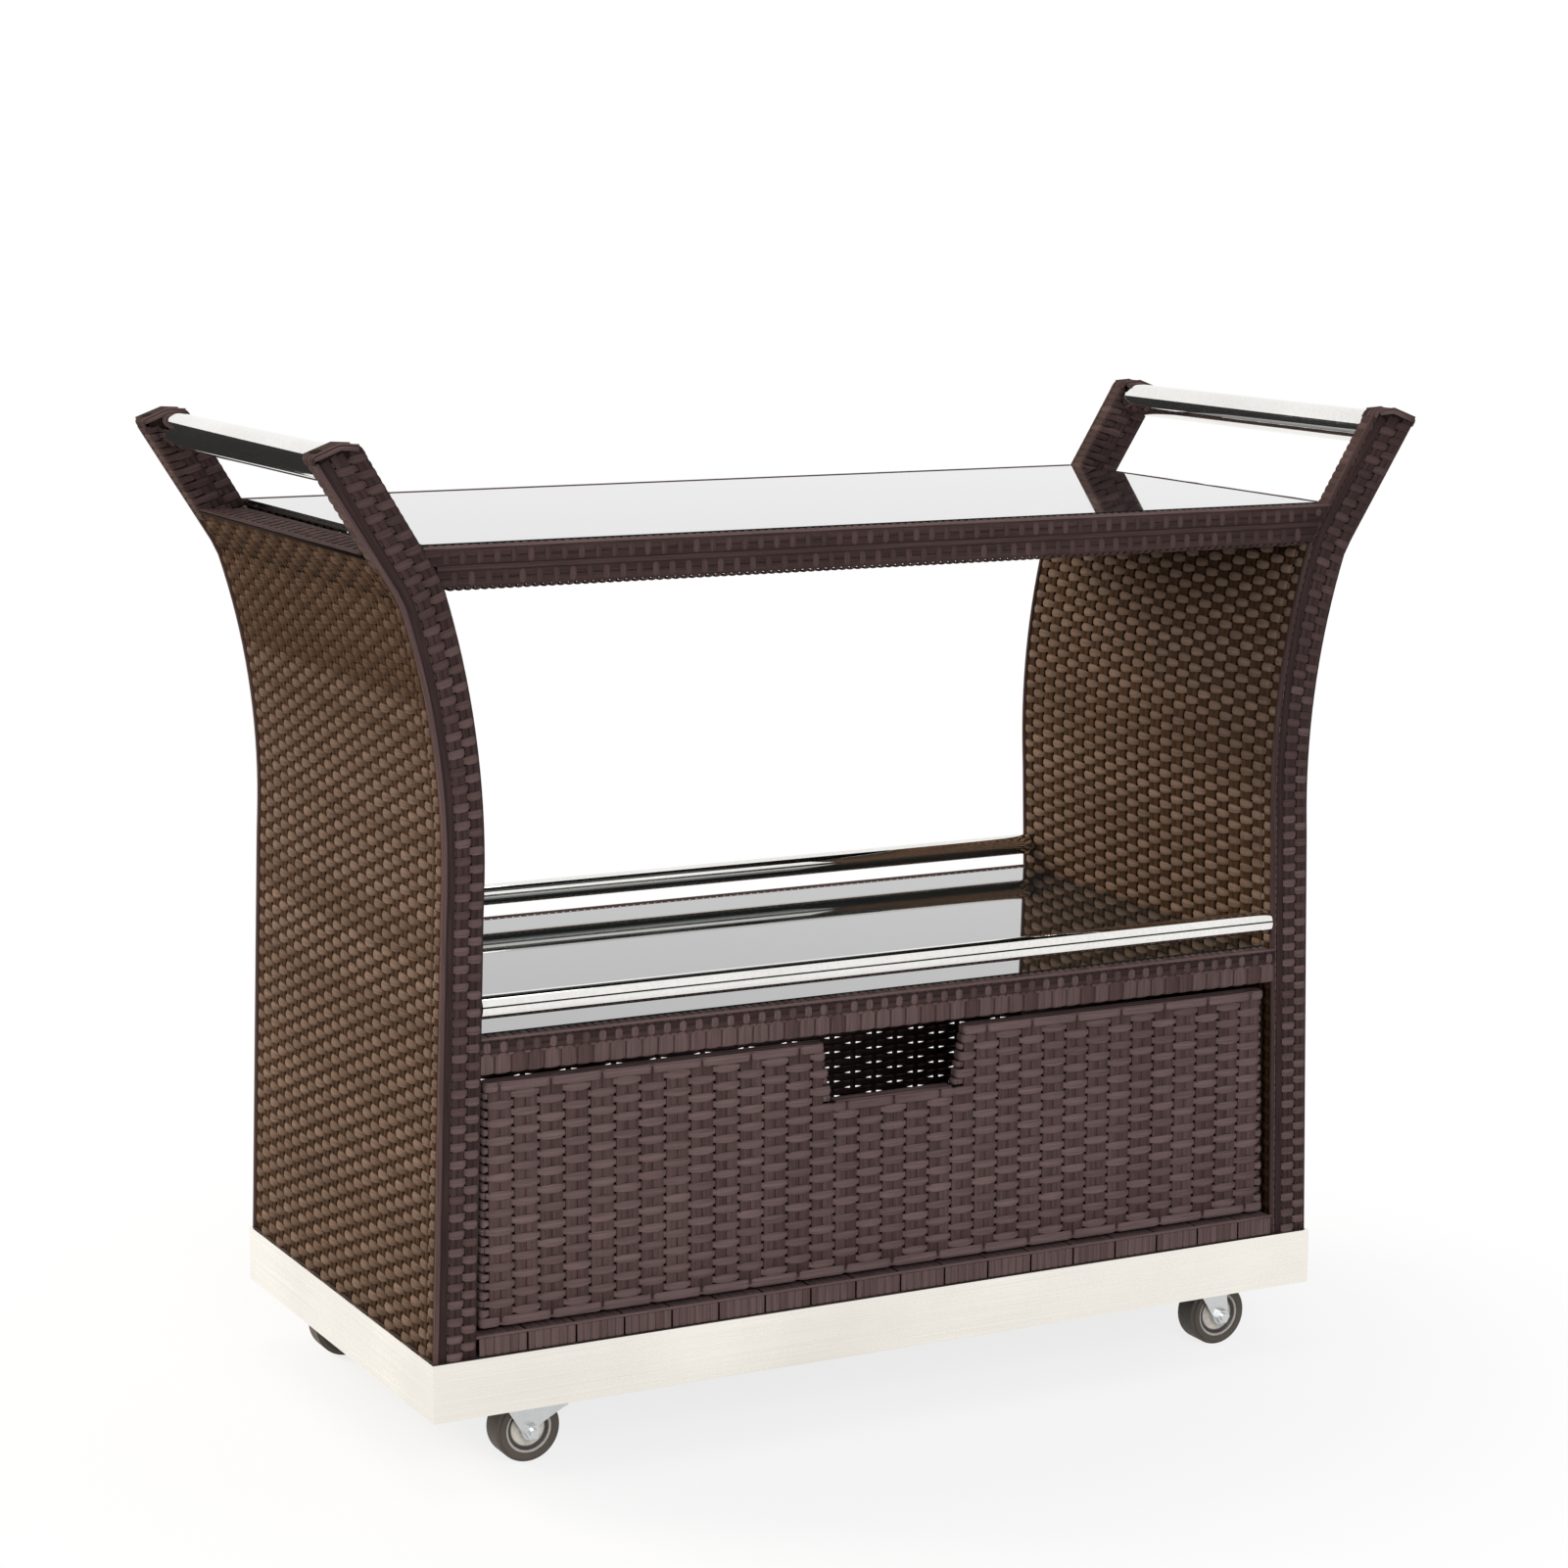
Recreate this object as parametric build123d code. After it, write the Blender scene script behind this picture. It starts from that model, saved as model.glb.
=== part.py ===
from build123d import *
import math
import os

os.makedirs("parts", exist_ok=True)

# Driving sizes in millimetres. +X runs along the front, the front faces -Y and the floor is at Z 0.
FLOOR_TO_PLINTH = 70
PLINTH_LONG = 960
PLINTH_DEEP = 490
PLINTH_HIGH = 55
SHEET = 2
PLINTH_LIP = 14
BOARD_THICK = 28

# The wicker body stands on the base board, just inside the skirts.
BODY_FOOT = FLOOR_TO_PLINTH + PLINTH_HIGH
BODY_HALF_LONG = PLINTH_LONG / 2 - SHEET
BODY_HALF_DEEP = PLINTH_DEEP / 2 - SHEET
FRAME_DEEP = 25
BEHIND_FRAME = BODY_HALF_DEEP - FRAME_DEEP

# Outline of a right-hand side seen from the front: X from the middle, Z from the floor.
OUTER_FOOT = (BODY_HALF_LONG, BODY_FOOT)
OUTER_WAIST = (466, 540)
OUTER_BULGE = (475.5, 710)
OUTER_KINK = (503, 818)
WING_OUTER = (584, 946)
WING_CROWN = (556, 959)
WING_INNER = (535, 957)
INNER_KINK = (461, 836)
INNER_BULGE = (432, 710)
INNER_WAIST = (424.5, 540)
INNER_FOOT = (435.5, BODY_FOOT)

# The woven skins of a side lie just inside the faces of its posts, with stretchers between them.
SKIN_THICK = 6
OUTER_SETBACK = 1.5
INNER_SETBACK = 2
STRETCHER_SIZE = 22
STRETCHER_WALL = 2
STRETCHER_HEIGHTS = (150, 240, 404)

# Rails, glass and tubes.
BOTTOM_RAIL_TOP = 146
SHELF_RAIL_LOW = 385
SHELF_TOP = 422.5
TOP_RAIL_LOW = 824
TOP = 866
RAIL_OVERLENGTH = 490
GLASS_THICK = 6
GLASS_LAP = 8
GLASS_PLAY = 1
TOP_GLASS_HALF = 474
SHELF_GLASS_HALF = 426
PAD_THICK = 1
PAD_LONG = 24
PAD_SPACING = 300
GUARD_RADIUS = 11
GUARD_HEIGHT = 448
HANDLE_RADIUS = 17
HANDLE_X = 549
HANDLE_Z = 937
TUBE_WALL = 1.5
BACK_PANEL_INSET = 7
BACK_PANEL_THICK = 10

# Drawer: its front leans in with the posts, and a notch in its top edge takes the hand.
DRAWER_RECESS = 7.6
DRAWER_FRONT_THICK = 18
DRAWER_LOW = 149.5
DRAWER_HIGH = 378
DRAWER_HALF_LOW = 430.5
DRAWER_HALF_HIGH = 424.3
NOTCH_LOW = 321
NOTCH_HALF_LOW = 65
NOTCH_HALF_HIGH = 76
BOX_HALF = 408
BOX_WALL = 12
BOX_LOW = 165
BOX_HIGH = 335
BOX_BACK_HIGH = 200
BOX_BACK = 185
FLOOR_PANEL_RISE = 3
FLOOR_PANEL_THICK = 6

# Drawer slides: a lipped channel on a batten, and a bar on the drawer that runs behind the lips.
SLIDE_HEIGHT = 240
SLIDE_FRONT = -200
CHANNEL_MOUTH = 412
CHANNEL_BACK = 420.5
CHANNEL_HALF = 16
CHANNEL_WALL = 1.5
CHANNEL_LIP = 5
BAR_NECK_HALF = 7
BAR_HEAD_HALF = 13.5
BAR_HEAD_NEAR = 414.3
BAR_HEAD_FAR = 418.3
BATTEN_HALF = 20

# Casters, in their own frame: the king pin stands over the origin and the wheel trails towards +X.
CASTER_X = 385
CASTER_Y = 182
WHEEL_RADIUS = 32
TRAIL = 20
HUB_RADIUS = 23
HUB_RIM = 2
HUB_DISH = 2.5
HUB_HALF_WIDE = 13.5
BOSS_RADIUS = 9
TYRE_HALF_WIDE = 15
TYRE_SHOULDER = 3.5
PLATE_SIZE = 62
PLATE_THICK = 3
RACE_RADIUS = 20
RACE_HIGH = 6
PIN_RADIUS = 5
PIN_HEAD_RADIUS = 9
PIN_HEAD_THICK = 3
RUNNING_GAP = 0.4
SHAFT_GAP = 0.05
CROWN_THICK = 3.4
CROWN_HALF = 24
LEG_INSIDE = 16.6
LEG_THICK = 2.6
LEG_EYE_RADIUS = 9
AXLE_RADIUS = 4
AXLE_FLATS = 13
AXLE_HEAD = 5.5
AXLE_END = 3
SCREW_SPACING = 46
SCREW_RADIUS = 3
SCREW_FLATS = 10
SCREW_HEAD = 4
SCREW_GRIP = 18

# Brake pedal: it hinges beyond the tyre, and a shoe on the hinge swings towards the tread.
PEDAL_AWAY = 41.2
PEDAL_RISE = 35
PEDAL_PIN_RADIUS = 2.5
PEDAL_BARREL_RADIUS = 5
PEDAL_HALF_WIDE = 15.8
PEDAL_REACH = 21
PEDAL_THICK = 3
PEDAL_TILT = 20
SHOE_REACH = 8
SHOE_THICK = 6
SHOE_DIRECTION = 232
EAR_RADIUS = 5.5

SIDES = {"right": 1, "left": -1}
ENDS = {"front": -1, "rear": 1}
BRAKED = ("front_left", "rear_left")


def write(shape, name):
    """Write one node, made of one solid or of a group of separate solids."""
    export_step(shape, f"parts/{name}.step")


def block(low, high):
    """Box between two opposite corners."""
    size = [abs(b - a) for a, b in zip(low, high)]
    middle = [(a + b) / 2 for a, b in zip(low, high)]
    return Pos(*middle) * Box(*size)


def across(face, front, back):
    """Solid from a face drawn in X and Z, reaching from Y front to Y back."""
    plane = Plane(origin=(0, back, 0), x_dir=(1, 0, 0), z_dir=(0, -1, 0))
    return extrude(plane * face, amount=back - front)


def polygon_face(*points):
    """Face inside a closed row of straight edges."""
    return make_face(Polyline(*points, close=True))


def rod(radius, front, back, x, z):
    """Round bar along Y."""
    return across(Pos(x, z) * Circle(radius), front, back)


def hexagon(flats, front, back, x, z):
    """Hexagon bar along Y."""
    return across(Pos(x, z) * RegularPolygon(flats / 2, 6, major_radius=False), front, back)


def on_side(shape, sign):
    """A right-hand shape as it is, or its mirror image on the left."""
    return shape if sign > 0 else mirror(shape, about=Plane.YZ)


def at_end(shape, sign):
    """A front shape as it is, or its mirror image at the rear."""
    return shape if sign < 0 else mirror(shape, about=Plane.XZ)


def both_sides(shape):
    """Group of a right-hand solid and its mirror image."""
    return Compound(children=[shape, on_side(shape, SIDES["left"])])


def group(shapes):
    """Several separate solids as one node."""
    return Compound(children=list(shapes))


def shifted(point, along_x):
    """A point of the side outline moved along X."""
    return (point[0] + along_x, point[1])


def leg_x(foot, waist, height):
    """X of the straight lower stretch of an outline edge at a height."""
    share = (height - foot[1]) / (waist[1] - foot[1])
    return foot[0] + (waist[0] - foot[0]) * share


def post_face(outer_setback=0):
    """Outline of a post and its wing: a straight leg, a bend outwards, then a straight wing."""
    foot, waist, bulge, kink, tip = [
        shifted(point, -outer_setback)
        for point in (OUTER_FOOT, OUTER_WAIST, OUTER_BULGE, OUTER_KINK, WING_OUTER)
    ]
    return make_face(
        Curve()
        + Line(foot, waist)
        + ThreePointArc(waist, bulge, kink)
        + Polyline(kink, tip, WING_CROWN, WING_INNER, INNER_KINK)
        + ThreePointArc(INNER_KINK, INNER_BULGE, INNER_WAIST)
        + Polyline(INNER_WAIST, INNER_FOOT, foot)
    )


def skin_face(outline, setback, thick):
    """Section of a woven skin: an edge of the post outline, set back and given a thickness along X."""
    near = [shifted(point, setback) for point in outline]
    far = [shifted(point, setback + thick) for point in outline]
    return make_face(
        Curve()
        + Line(near[0], near[1])
        + ThreePointArc(near[1], near[2], near[3])
        + Line(near[3], far[3])
        + ThreePointArc(far[3], far[2], far[1])
        + Polyline(far[1], far[0], near[0])
    )


def make_posts():
    """Four posts, each with its wing."""
    front_right = across(post_face(), -BODY_HALF_DEEP, -BEHIND_FRAME)
    return {
        f"post_{end}_{side}": on_side(at_end(front_right, end_sign), side_sign)
        for end, end_sign in ENDS.items()
        for side, side_sign in SIDES.items()
    }


def make_plinth():
    """Four sheet skirts, each with a lip turned in along its lower edge."""
    half_long = PLINTH_LONG / 2
    half_deep = PLINTH_DEEP / 2
    low = FLOOR_TO_PLINTH
    lip_end = BODY_HALF_DEEP - PLINTH_LIP
    long_skirt = block((-half_long, -half_deep, low), (half_long, -BODY_HALF_DEEP, BODY_FOOT))
    long_skirt += block(
        (-BODY_HALF_LONG, -BODY_HALF_DEEP, low), (BODY_HALF_LONG, -lip_end, low + SHEET)
    )
    short_skirt = block((BODY_HALF_LONG, -BODY_HALF_DEEP, low), (half_long, BODY_HALF_DEEP, BODY_FOOT))
    short_skirt += block(
        (BODY_HALF_LONG - PLINTH_LIP, -lip_end, low), (BODY_HALF_LONG, lip_end, low + SHEET)
    )
    skirts = {f"plinth_{end}": at_end(long_skirt, sign) for end, sign in ENDS.items()}
    skirts.update({f"plinth_{side}": on_side(short_skirt, sign) for side, sign in SIDES.items()})
    return skirts


def make_side_skins():
    """Outer and inner woven skin of each side, between the front and rear posts."""
    below_bar = block((0, -BEHIND_FRAME, BODY_FOOT), (PLINTH_LONG, BEHIND_FRAME, OUTER_KINK[1]))
    outer_outline = (OUTER_FOOT, OUTER_WAIST, OUTER_BULGE, OUTER_KINK)
    inner_outline = (INNER_FOOT, INNER_WAIST, INNER_BULGE, INNER_KINK)
    outer_face = skin_face(outer_outline, -OUTER_SETBACK, -SKIN_THICK)
    inner_face = skin_face(inner_outline, INNER_SETBACK, SKIN_THICK)
    skins = {}
    for side, sign in SIDES.items():
        for layer, face in (("outer", outer_face), ("inner", inner_face)):
            skin = across(face, -BEHIND_FRAME, BEHIND_FRAME) & below_bar
            skins[f"side_skin_{layer}_{side}"] = on_side(skin, sign)
    return skins


def make_cross_bar():
    """Wrapped bar that closes the top of a side, under the hand hole."""
    bar_zone = block(
        (0, -BEHIND_FRAME, OUTER_KINK[1]), (PLINTH_LONG, BEHIND_FRAME, TOP - GLASS_THICK)
    )
    return across(post_face(OUTER_SETBACK), -BEHIND_FRAME, BEHIND_FRAME) & bar_zone


def make_side_frames():
    """Aluminium stretchers between the posts, hidden between the skins of each side."""
    stretchers = []
    for height in STRETCHER_HEIGHTS:
        outer = leg_x(OUTER_FOOT, OUTER_WAIST, height)
        inner = leg_x(INNER_FOOT, INNER_WAIST, height)
        middle = Pos((outer + inner) / 2, 0, height)
        hollow = STRETCHER_SIZE - 2 * STRETCHER_WALL
        tube = Box(STRETCHER_SIZE, 2 * BEHIND_FRAME, STRETCHER_SIZE) - Box(hollow, 2 * BEHIND_FRAME, hollow)
        stretchers.append(middle * tube)
    mirrored = [on_side(stretcher, SIDES["left"]) for stretcher in stretchers]
    return group(stretchers + mirrored)


def largest(shape):
    """The largest solid of a shape that a cut left in pieces."""
    return max(shape.solids(), key=lambda piece: piece.volume)


def between_posts(shape, posts):
    """The stretch of a long shape that lies between the left and right posts."""
    for post in posts.values():
        shape -= post
    return largest(shape)


def make_front_rail(low, high, posts, glazed):
    """Wrapped front rail between the posts, with a step for the glass where it carries one."""
    rail = block((-RAIL_OVERLENGTH, -BODY_HALF_DEEP, low), (RAIL_OVERLENGTH, -BEHIND_FRAME, high))
    rail = between_posts(rail, posts)
    if glazed:
        step_low = high - GLASS_THICK - PAD_THICK
        step_front = -BEHIND_FRAME - GLASS_LAP
        rail -= block((-RAIL_OVERLENGTH, step_front, step_low), (RAIL_OVERLENGTH, 0, high))
    return rail


def make_glass(half_long, top):
    """Flat glass pane that lies on the steps of the front and rear rail."""
    half_deep = BEHIND_FRAME + GLASS_LAP - GLASS_PLAY
    return block((-half_long, -half_deep, top - GLASS_THICK), (half_long, half_deep, top))


def make_glass_pads():
    """Rubber pads on the steps under both panes."""
    pads = []
    for top in (SHELF_TOP, TOP):
        low = top - GLASS_THICK - PAD_THICK
        for place in (-PAD_SPACING, 0, PAD_SPACING):
            front_pad = block(
                (place - PAD_LONG / 2, -BEHIND_FRAME - GLASS_LAP + GLASS_PLAY, low),
                (place + PAD_LONG / 2, -BEHIND_FRAME - GLASS_PLAY, low + PAD_THICK),
            )
            pads += [at_end(front_pad, sign) for sign in ENDS.values()]
    return group(pads)


def make_guard_rail(posts):
    """Stainless tube over the front edge of the shelf, from post to post."""
    length = 2 * RAIL_OVERLENGTH
    tube = Cylinder(GUARD_RADIUS, length) - Cylinder(GUARD_RADIUS - TUBE_WALL, length)
    placed = Pos(0, -BODY_HALF_DEEP + FRAME_DEEP / 2, GUARD_HEIGHT) * Rot(0, 90, 0) * tube
    return between_posts(placed, posts)


def make_handle():
    """Stainless tube between the front and rear wing of a side."""
    outer = rod(HANDLE_RADIUS, -BEHIND_FRAME, BEHIND_FRAME, HANDLE_X, HANDLE_Z)
    return outer - rod(HANDLE_RADIUS - TUBE_WALL, -BEHIND_FRAME, BEHIND_FRAME, HANDLE_X, HANDLE_Z)


def make_back_panel(posts):
    """Woven panel that closes the drawer bay at the rear."""
    back = BODY_HALF_DEEP - BACK_PANEL_INSET
    panel = block(
        (-BODY_HALF_LONG, back - BACK_PANEL_THICK, BOTTOM_RAIL_TOP), (BODY_HALF_LONG, back, SHELF_RAIL_LOW)
    )
    return between_posts(panel, posts)


def make_drawer():
    """Drawer front with its notch, and a box with a low back behind it."""
    front = -BODY_HALF_DEEP + DRAWER_RECESS
    box_front = front + DRAWER_FRONT_THICK
    face = polygon_face(
        (-DRAWER_HALF_LOW, DRAWER_LOW),
        (DRAWER_HALF_LOW, DRAWER_LOW),
        (DRAWER_HALF_HIGH, DRAWER_HIGH),
        (NOTCH_HALF_HIGH, DRAWER_HIGH),
        (NOTCH_HALF_LOW, NOTCH_LOW),
        (-NOTCH_HALF_LOW, NOTCH_LOW),
        (-NOTCH_HALF_HIGH, DRAWER_HIGH),
        (-DRAWER_HALF_HIGH, DRAWER_HIGH),
    )
    inside = BOX_HALF - BOX_WALL
    back_front = BOX_BACK - BOX_WALL
    floor_low = BOX_LOW + FLOOR_PANEL_RISE
    wall = block((inside, box_front, BOX_LOW), (BOX_HALF, BOX_BACK, BOX_HIGH))
    pieces = {f"drawer_side_{side}": on_side(wall, sign) for side, sign in SIDES.items()}
    pieces["drawer_front"] = across(face, front, box_front)
    pieces["drawer_back"] = block((-inside, back_front, BOX_LOW), (inside, BOX_BACK, BOX_BACK_HIGH))
    pieces["drawer_bottom"] = block(
        (-inside, box_front, floor_low), (inside, back_front, floor_low + FLOOR_PANEL_THICK)
    )
    return pieces


def make_slide_channel():
    """Right-hand fixed channel, open towards the drawer, with lips that hold the bar."""
    half_hollow = CHANNEL_HALF - CHANNEL_WALL
    half_mouth = half_hollow - CHANNEL_LIP
    face = make_face(
        Polyline(
            (CHANNEL_MOUTH, half_mouth),
            (CHANNEL_MOUTH, CHANNEL_HALF),
            (CHANNEL_BACK, CHANNEL_HALF),
            (CHANNEL_BACK, -CHANNEL_HALF),
            (CHANNEL_MOUTH, -CHANNEL_HALF),
            (CHANNEL_MOUTH, -half_mouth),
            (CHANNEL_MOUTH + CHANNEL_WALL, -half_mouth),
            (CHANNEL_MOUTH + CHANNEL_WALL, -half_hollow),
            (CHANNEL_BACK - CHANNEL_WALL, -half_hollow),
            (CHANNEL_BACK - CHANNEL_WALL, half_hollow),
            (CHANNEL_MOUTH + CHANNEL_WALL, half_hollow),
            (CHANNEL_MOUTH + CHANNEL_WALL, half_mouth),
            close=True,
        )
    )
    return Pos(0, 0, SLIDE_HEIGHT) * across(face, SLIDE_FRONT, BOX_BACK)


def make_slide_bar():
    """Right-hand bar on the drawer: a neck through the channel mouth and a wider head behind the lips."""
    low = SLIDE_HEIGHT - BAR_NECK_HALF
    high = SLIDE_HEIGHT + BAR_NECK_HALF
    neck = block((BOX_HALF, SLIDE_FRONT, low), (BAR_HEAD_FAR, BOX_BACK, high))
    head = block(
        (BAR_HEAD_NEAR, SLIDE_FRONT, SLIDE_HEIGHT - BAR_HEAD_HALF),
        (BAR_HEAD_FAR, BOX_BACK, SLIDE_HEIGHT + BAR_HEAD_HALF),
    )
    return neck + head


def make_batten(inner_skin):
    """Right-hand batten that fills the wedge between a slide channel and the inner skin."""
    far = INNER_FOOT[0] + INNER_SETBACK + SKIN_THICK / 2
    batten = block(
        (CHANNEL_BACK, SLIDE_FRONT, SLIDE_HEIGHT - BATTEN_HALF),
        (far, BOX_BACK, SLIDE_HEIGHT + BATTEN_HALF),
    )
    return largest(batten - inner_skin)


def caster_place(end, side):
    """Where a caster stands. The front pair trails towards +X and the rear pair towards -X."""
    turn = 0 if end == "front" else 180
    return Pos(SIDES[side] * CASTER_X, ENDS[end] * CASTER_Y, 0) * Rot(0, 0, turn)


MOUNT_HEIGHT = BODY_FOOT - BOARD_THICK
PLATE_LOW = MOUNT_HEIGHT - PLATE_THICK
RACE_LOW = PLATE_LOW - RACE_HIGH
CROWN_TOP = RACE_LOW - RUNNING_GAP
CROWN_LOW = CROWN_TOP - CROWN_THICK
LEG_OUTSIDE = LEG_INSIDE + LEG_THICK
PEDAL_X = TRAIL + PEDAL_AWAY * math.cos(math.radians(PEDAL_RISE))
PEDAL_Z = WHEEL_RADIUS + PEDAL_AWAY * math.sin(math.radians(PEDAL_RISE))


def upright_rod(radius, low, high):
    """Round bar along Z over the origin."""
    return Pos(0, 0, (low + high) / 2) * Cylinder(radius, high - low)


def make_caster_screws():
    """Four hexagon screws that hold one caster plate to the base board."""
    head_face = RegularPolygon(SCREW_FLATS / 2, 6, major_radius=False)
    head = Pos(0, 0, PLATE_LOW - SCREW_HEAD) * extrude(head_face, amount=SCREW_HEAD)
    screw = head + upright_rod(SCREW_RADIUS, PLATE_LOW, PLATE_LOW + PLATE_THICK + SCREW_GRIP)
    return [place * screw for place in GridLocations(SCREW_SPACING, SCREW_SPACING, 2, 2)]


def make_caster_plate():
    """Square plate with the round race that the fork turns under."""
    plate = Pos(0, 0, PLATE_LOW + PLATE_THICK / 2) * Box(PLATE_SIZE, PLATE_SIZE, PLATE_THICK)
    plate += upright_rod(RACE_RADIUS, RACE_LOW, PLATE_LOW)
    plate -= upright_rod(PIN_RADIUS, RACE_LOW, PLATE_LOW)
    for screw in make_caster_screws():
        plate -= screw
    return plate


def make_king_pin():
    """Pin that holds the fork under the race."""
    head_top = CROWN_LOW - RUNNING_GAP
    return upright_rod(PIN_RADIUS, head_top, PLATE_LOW) + upright_rod(
        PIN_HEAD_RADIUS, head_top - PIN_HEAD_THICK, head_top
    )


def make_fork(braked):
    """Pressed fork: a crown with a hole for the king pin, two legs, and ears for the pedal."""
    leg = polygon_face(
        (-CROWN_HALF, CROWN_TOP),
        (CROWN_HALF, CROWN_TOP),
        (TRAIL + LEG_EYE_RADIUS, WHEEL_RADIUS),
        (TRAIL - LEG_EYE_RADIUS, WHEEL_RADIUS),
    )
    leg += Pos(TRAIL, WHEEL_RADIUS) * Circle(LEG_EYE_RADIUS)
    if braked:
        leg += polygon_face(
            (TRAIL, CROWN_LOW - EAR_RADIUS),
            (TRAIL, WHEEL_RADIUS),
            (PEDAL_X, PEDAL_Z - EAR_RADIUS),
            (PEDAL_X, PEDAL_Z + EAR_RADIUS),
        )
        leg += Pos(PEDAL_X, PEDAL_Z) * Circle(EAR_RADIUS)
    leg -= Pos(TRAIL, WHEEL_RADIUS) * Circle(AXLE_RADIUS)
    crown = block((-CROWN_HALF, -LEG_OUTSIDE, CROWN_LOW), (CROWN_HALF, LEG_OUTSIDE, CROWN_TOP))
    fork = crown + across(leg, LEG_INSIDE, LEG_OUTSIDE) + across(leg, -LEG_OUTSIDE, -LEG_INSIDE)
    fork -= upright_rod(PIN_RADIUS + SHAFT_GAP, CROWN_LOW, CROWN_TOP)
    if braked:
        fork += rod(PEDAL_PIN_RADIUS, -LEG_OUTSIDE, LEG_OUTSIDE, PEDAL_X, PEDAL_Z)
    return fork


def make_axle():
    """Axle bolt through the legs of a fork, with its nut on the outer side."""
    nut_face = -LEG_OUTSIDE - AXLE_HEAD
    bolt = rod(AXLE_RADIUS, nut_face - AXLE_END, LEG_OUTSIDE, TRAIL, WHEEL_RADIUS)
    bolt += hexagon(AXLE_FLATS, LEG_OUTSIDE, LEG_OUTSIDE + AXLE_HEAD, TRAIL, WHEEL_RADIUS)
    nut = hexagon(AXLE_FLATS, nut_face, -LEG_OUTSIDE, TRAIL, WHEEL_RADIUS)
    return [bolt, nut - bolt]


def turned(profile):
    """Round part about the axle, from a profile of radius and distance along the axle."""
    return Pos(TRAIL, 0, WHEEL_RADIUS) * revolve(profile, axis=Axis.Y)


def make_hub():
    """Wheel core with a bore for the axle, a boss and a dished web."""
    bore = AXLE_RADIUS + SHAFT_GAP
    boss_half = LEG_INSIDE - RUNNING_GAP
    web_half = HUB_HALF_WIDE - HUB_DISH
    rim_inside = HUB_RADIUS - HUB_RIM
    web_end = rim_inside - HUB_DISH
    half = [
        (bore, boss_half),
        (BOSS_RADIUS, boss_half),
        (BOSS_RADIUS, web_half),
        (web_end, web_half),
        (rim_inside, HUB_HALF_WIDE),
        (HUB_RADIUS, HUB_HALF_WIDE),
    ]
    other_half = [(radius, -along) for radius, along in reversed(half)]
    return turned(polygon_face(*half, *other_half))


def make_tyre():
    """Solid tyre with rounded shoulders."""
    shoulder_radius = WHEEL_RADIUS - TYRE_SHOULDER
    shoulder_along = TYRE_HALF_WIDE - TYRE_SHOULDER
    profile = make_face(
        Curve()
        + Polyline(
            (shoulder_radius, TYRE_HALF_WIDE),
            (HUB_RADIUS, TYRE_HALF_WIDE),
            (HUB_RADIUS, -TYRE_HALF_WIDE),
            (shoulder_radius, -TYRE_HALF_WIDE),
        )
        + RadiusArc((shoulder_radius, -TYRE_HALF_WIDE), (WHEEL_RADIUS, -shoulder_along), TYRE_SHOULDER)
        + Line((WHEEL_RADIUS, -shoulder_along), (WHEEL_RADIUS, shoulder_along))
        + RadiusArc((WHEEL_RADIUS, shoulder_along), (shoulder_radius, TYRE_HALF_WIDE), TYRE_SHOULDER)
    )
    return turned(profile)


def make_pedal():
    """Brake pedal: a barrel on the hinge pin, a tab for the foot and a shoe towards the tyre."""
    tab = Rot(0, 0, PEDAL_TILT) * Pos(PEDAL_REACH / 2, 0) * Rectangle(PEDAL_REACH, PEDAL_THICK)
    shoe = Rot(0, 0, SHOE_DIRECTION) * Pos(SHOE_REACH / 2, 0) * Rectangle(SHOE_REACH, SHOE_THICK)
    face = Circle(PEDAL_BARREL_RADIUS) + tab + shoe - Circle(PEDAL_PIN_RADIUS + SHAFT_GAP)
    return Pos(PEDAL_X, 0, PEDAL_Z) * across(face, -PEDAL_HALF_WIDE, PEDAL_HALF_WIDE)


def write_body(posts):
    """Everything that stands still, apart from the casters."""
    for name, post in posts.items():
        write(post, name)
    for name, skirt in make_plinth().items():
        write(skirt, name)
    skins = make_side_skins()
    for name, skin in skins.items():
        write(skin, name)
    write(make_side_frames(), "side_frames")
    for side, sign in SIDES.items():
        write(on_side(make_cross_bar(), sign), f"cross_bar_{side}")
        write(on_side(make_handle(), sign), f"handle_{side}")
    rails = {
        "top_rail": make_front_rail(TOP_RAIL_LOW, TOP, posts, True),
        "shelf_rail": make_front_rail(SHELF_RAIL_LOW, SHELF_TOP, posts, True),
        "bottom_rail": make_front_rail(BODY_FOOT, BOTTOM_RAIL_TOP, posts, False),
        "guard_rail": make_guard_rail(posts),
    }
    for name, rail in rails.items():
        for end, sign in ENDS.items():
            write(at_end(rail, sign), f"{name}_{end}")
    write(make_glass(TOP_GLASS_HALF, TOP), "top_glass")
    write(make_glass(SHELF_GLASS_HALF, SHELF_TOP), "shelf_glass")
    write(make_glass_pads(), "glass_pads")
    write(make_back_panel(posts), "back_panel")
    write(both_sides(make_batten(skins["side_skin_inner_right"])), "slide_battens")
    write(both_sides(make_slide_channel()), "slide_channels")


def write_drawer():
    """Everything that slides out with the drawer."""
    for name, piece in make_drawer().items():
        write(piece, name)
    write(both_sides(make_slide_bar()), "slide_bars")


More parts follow.
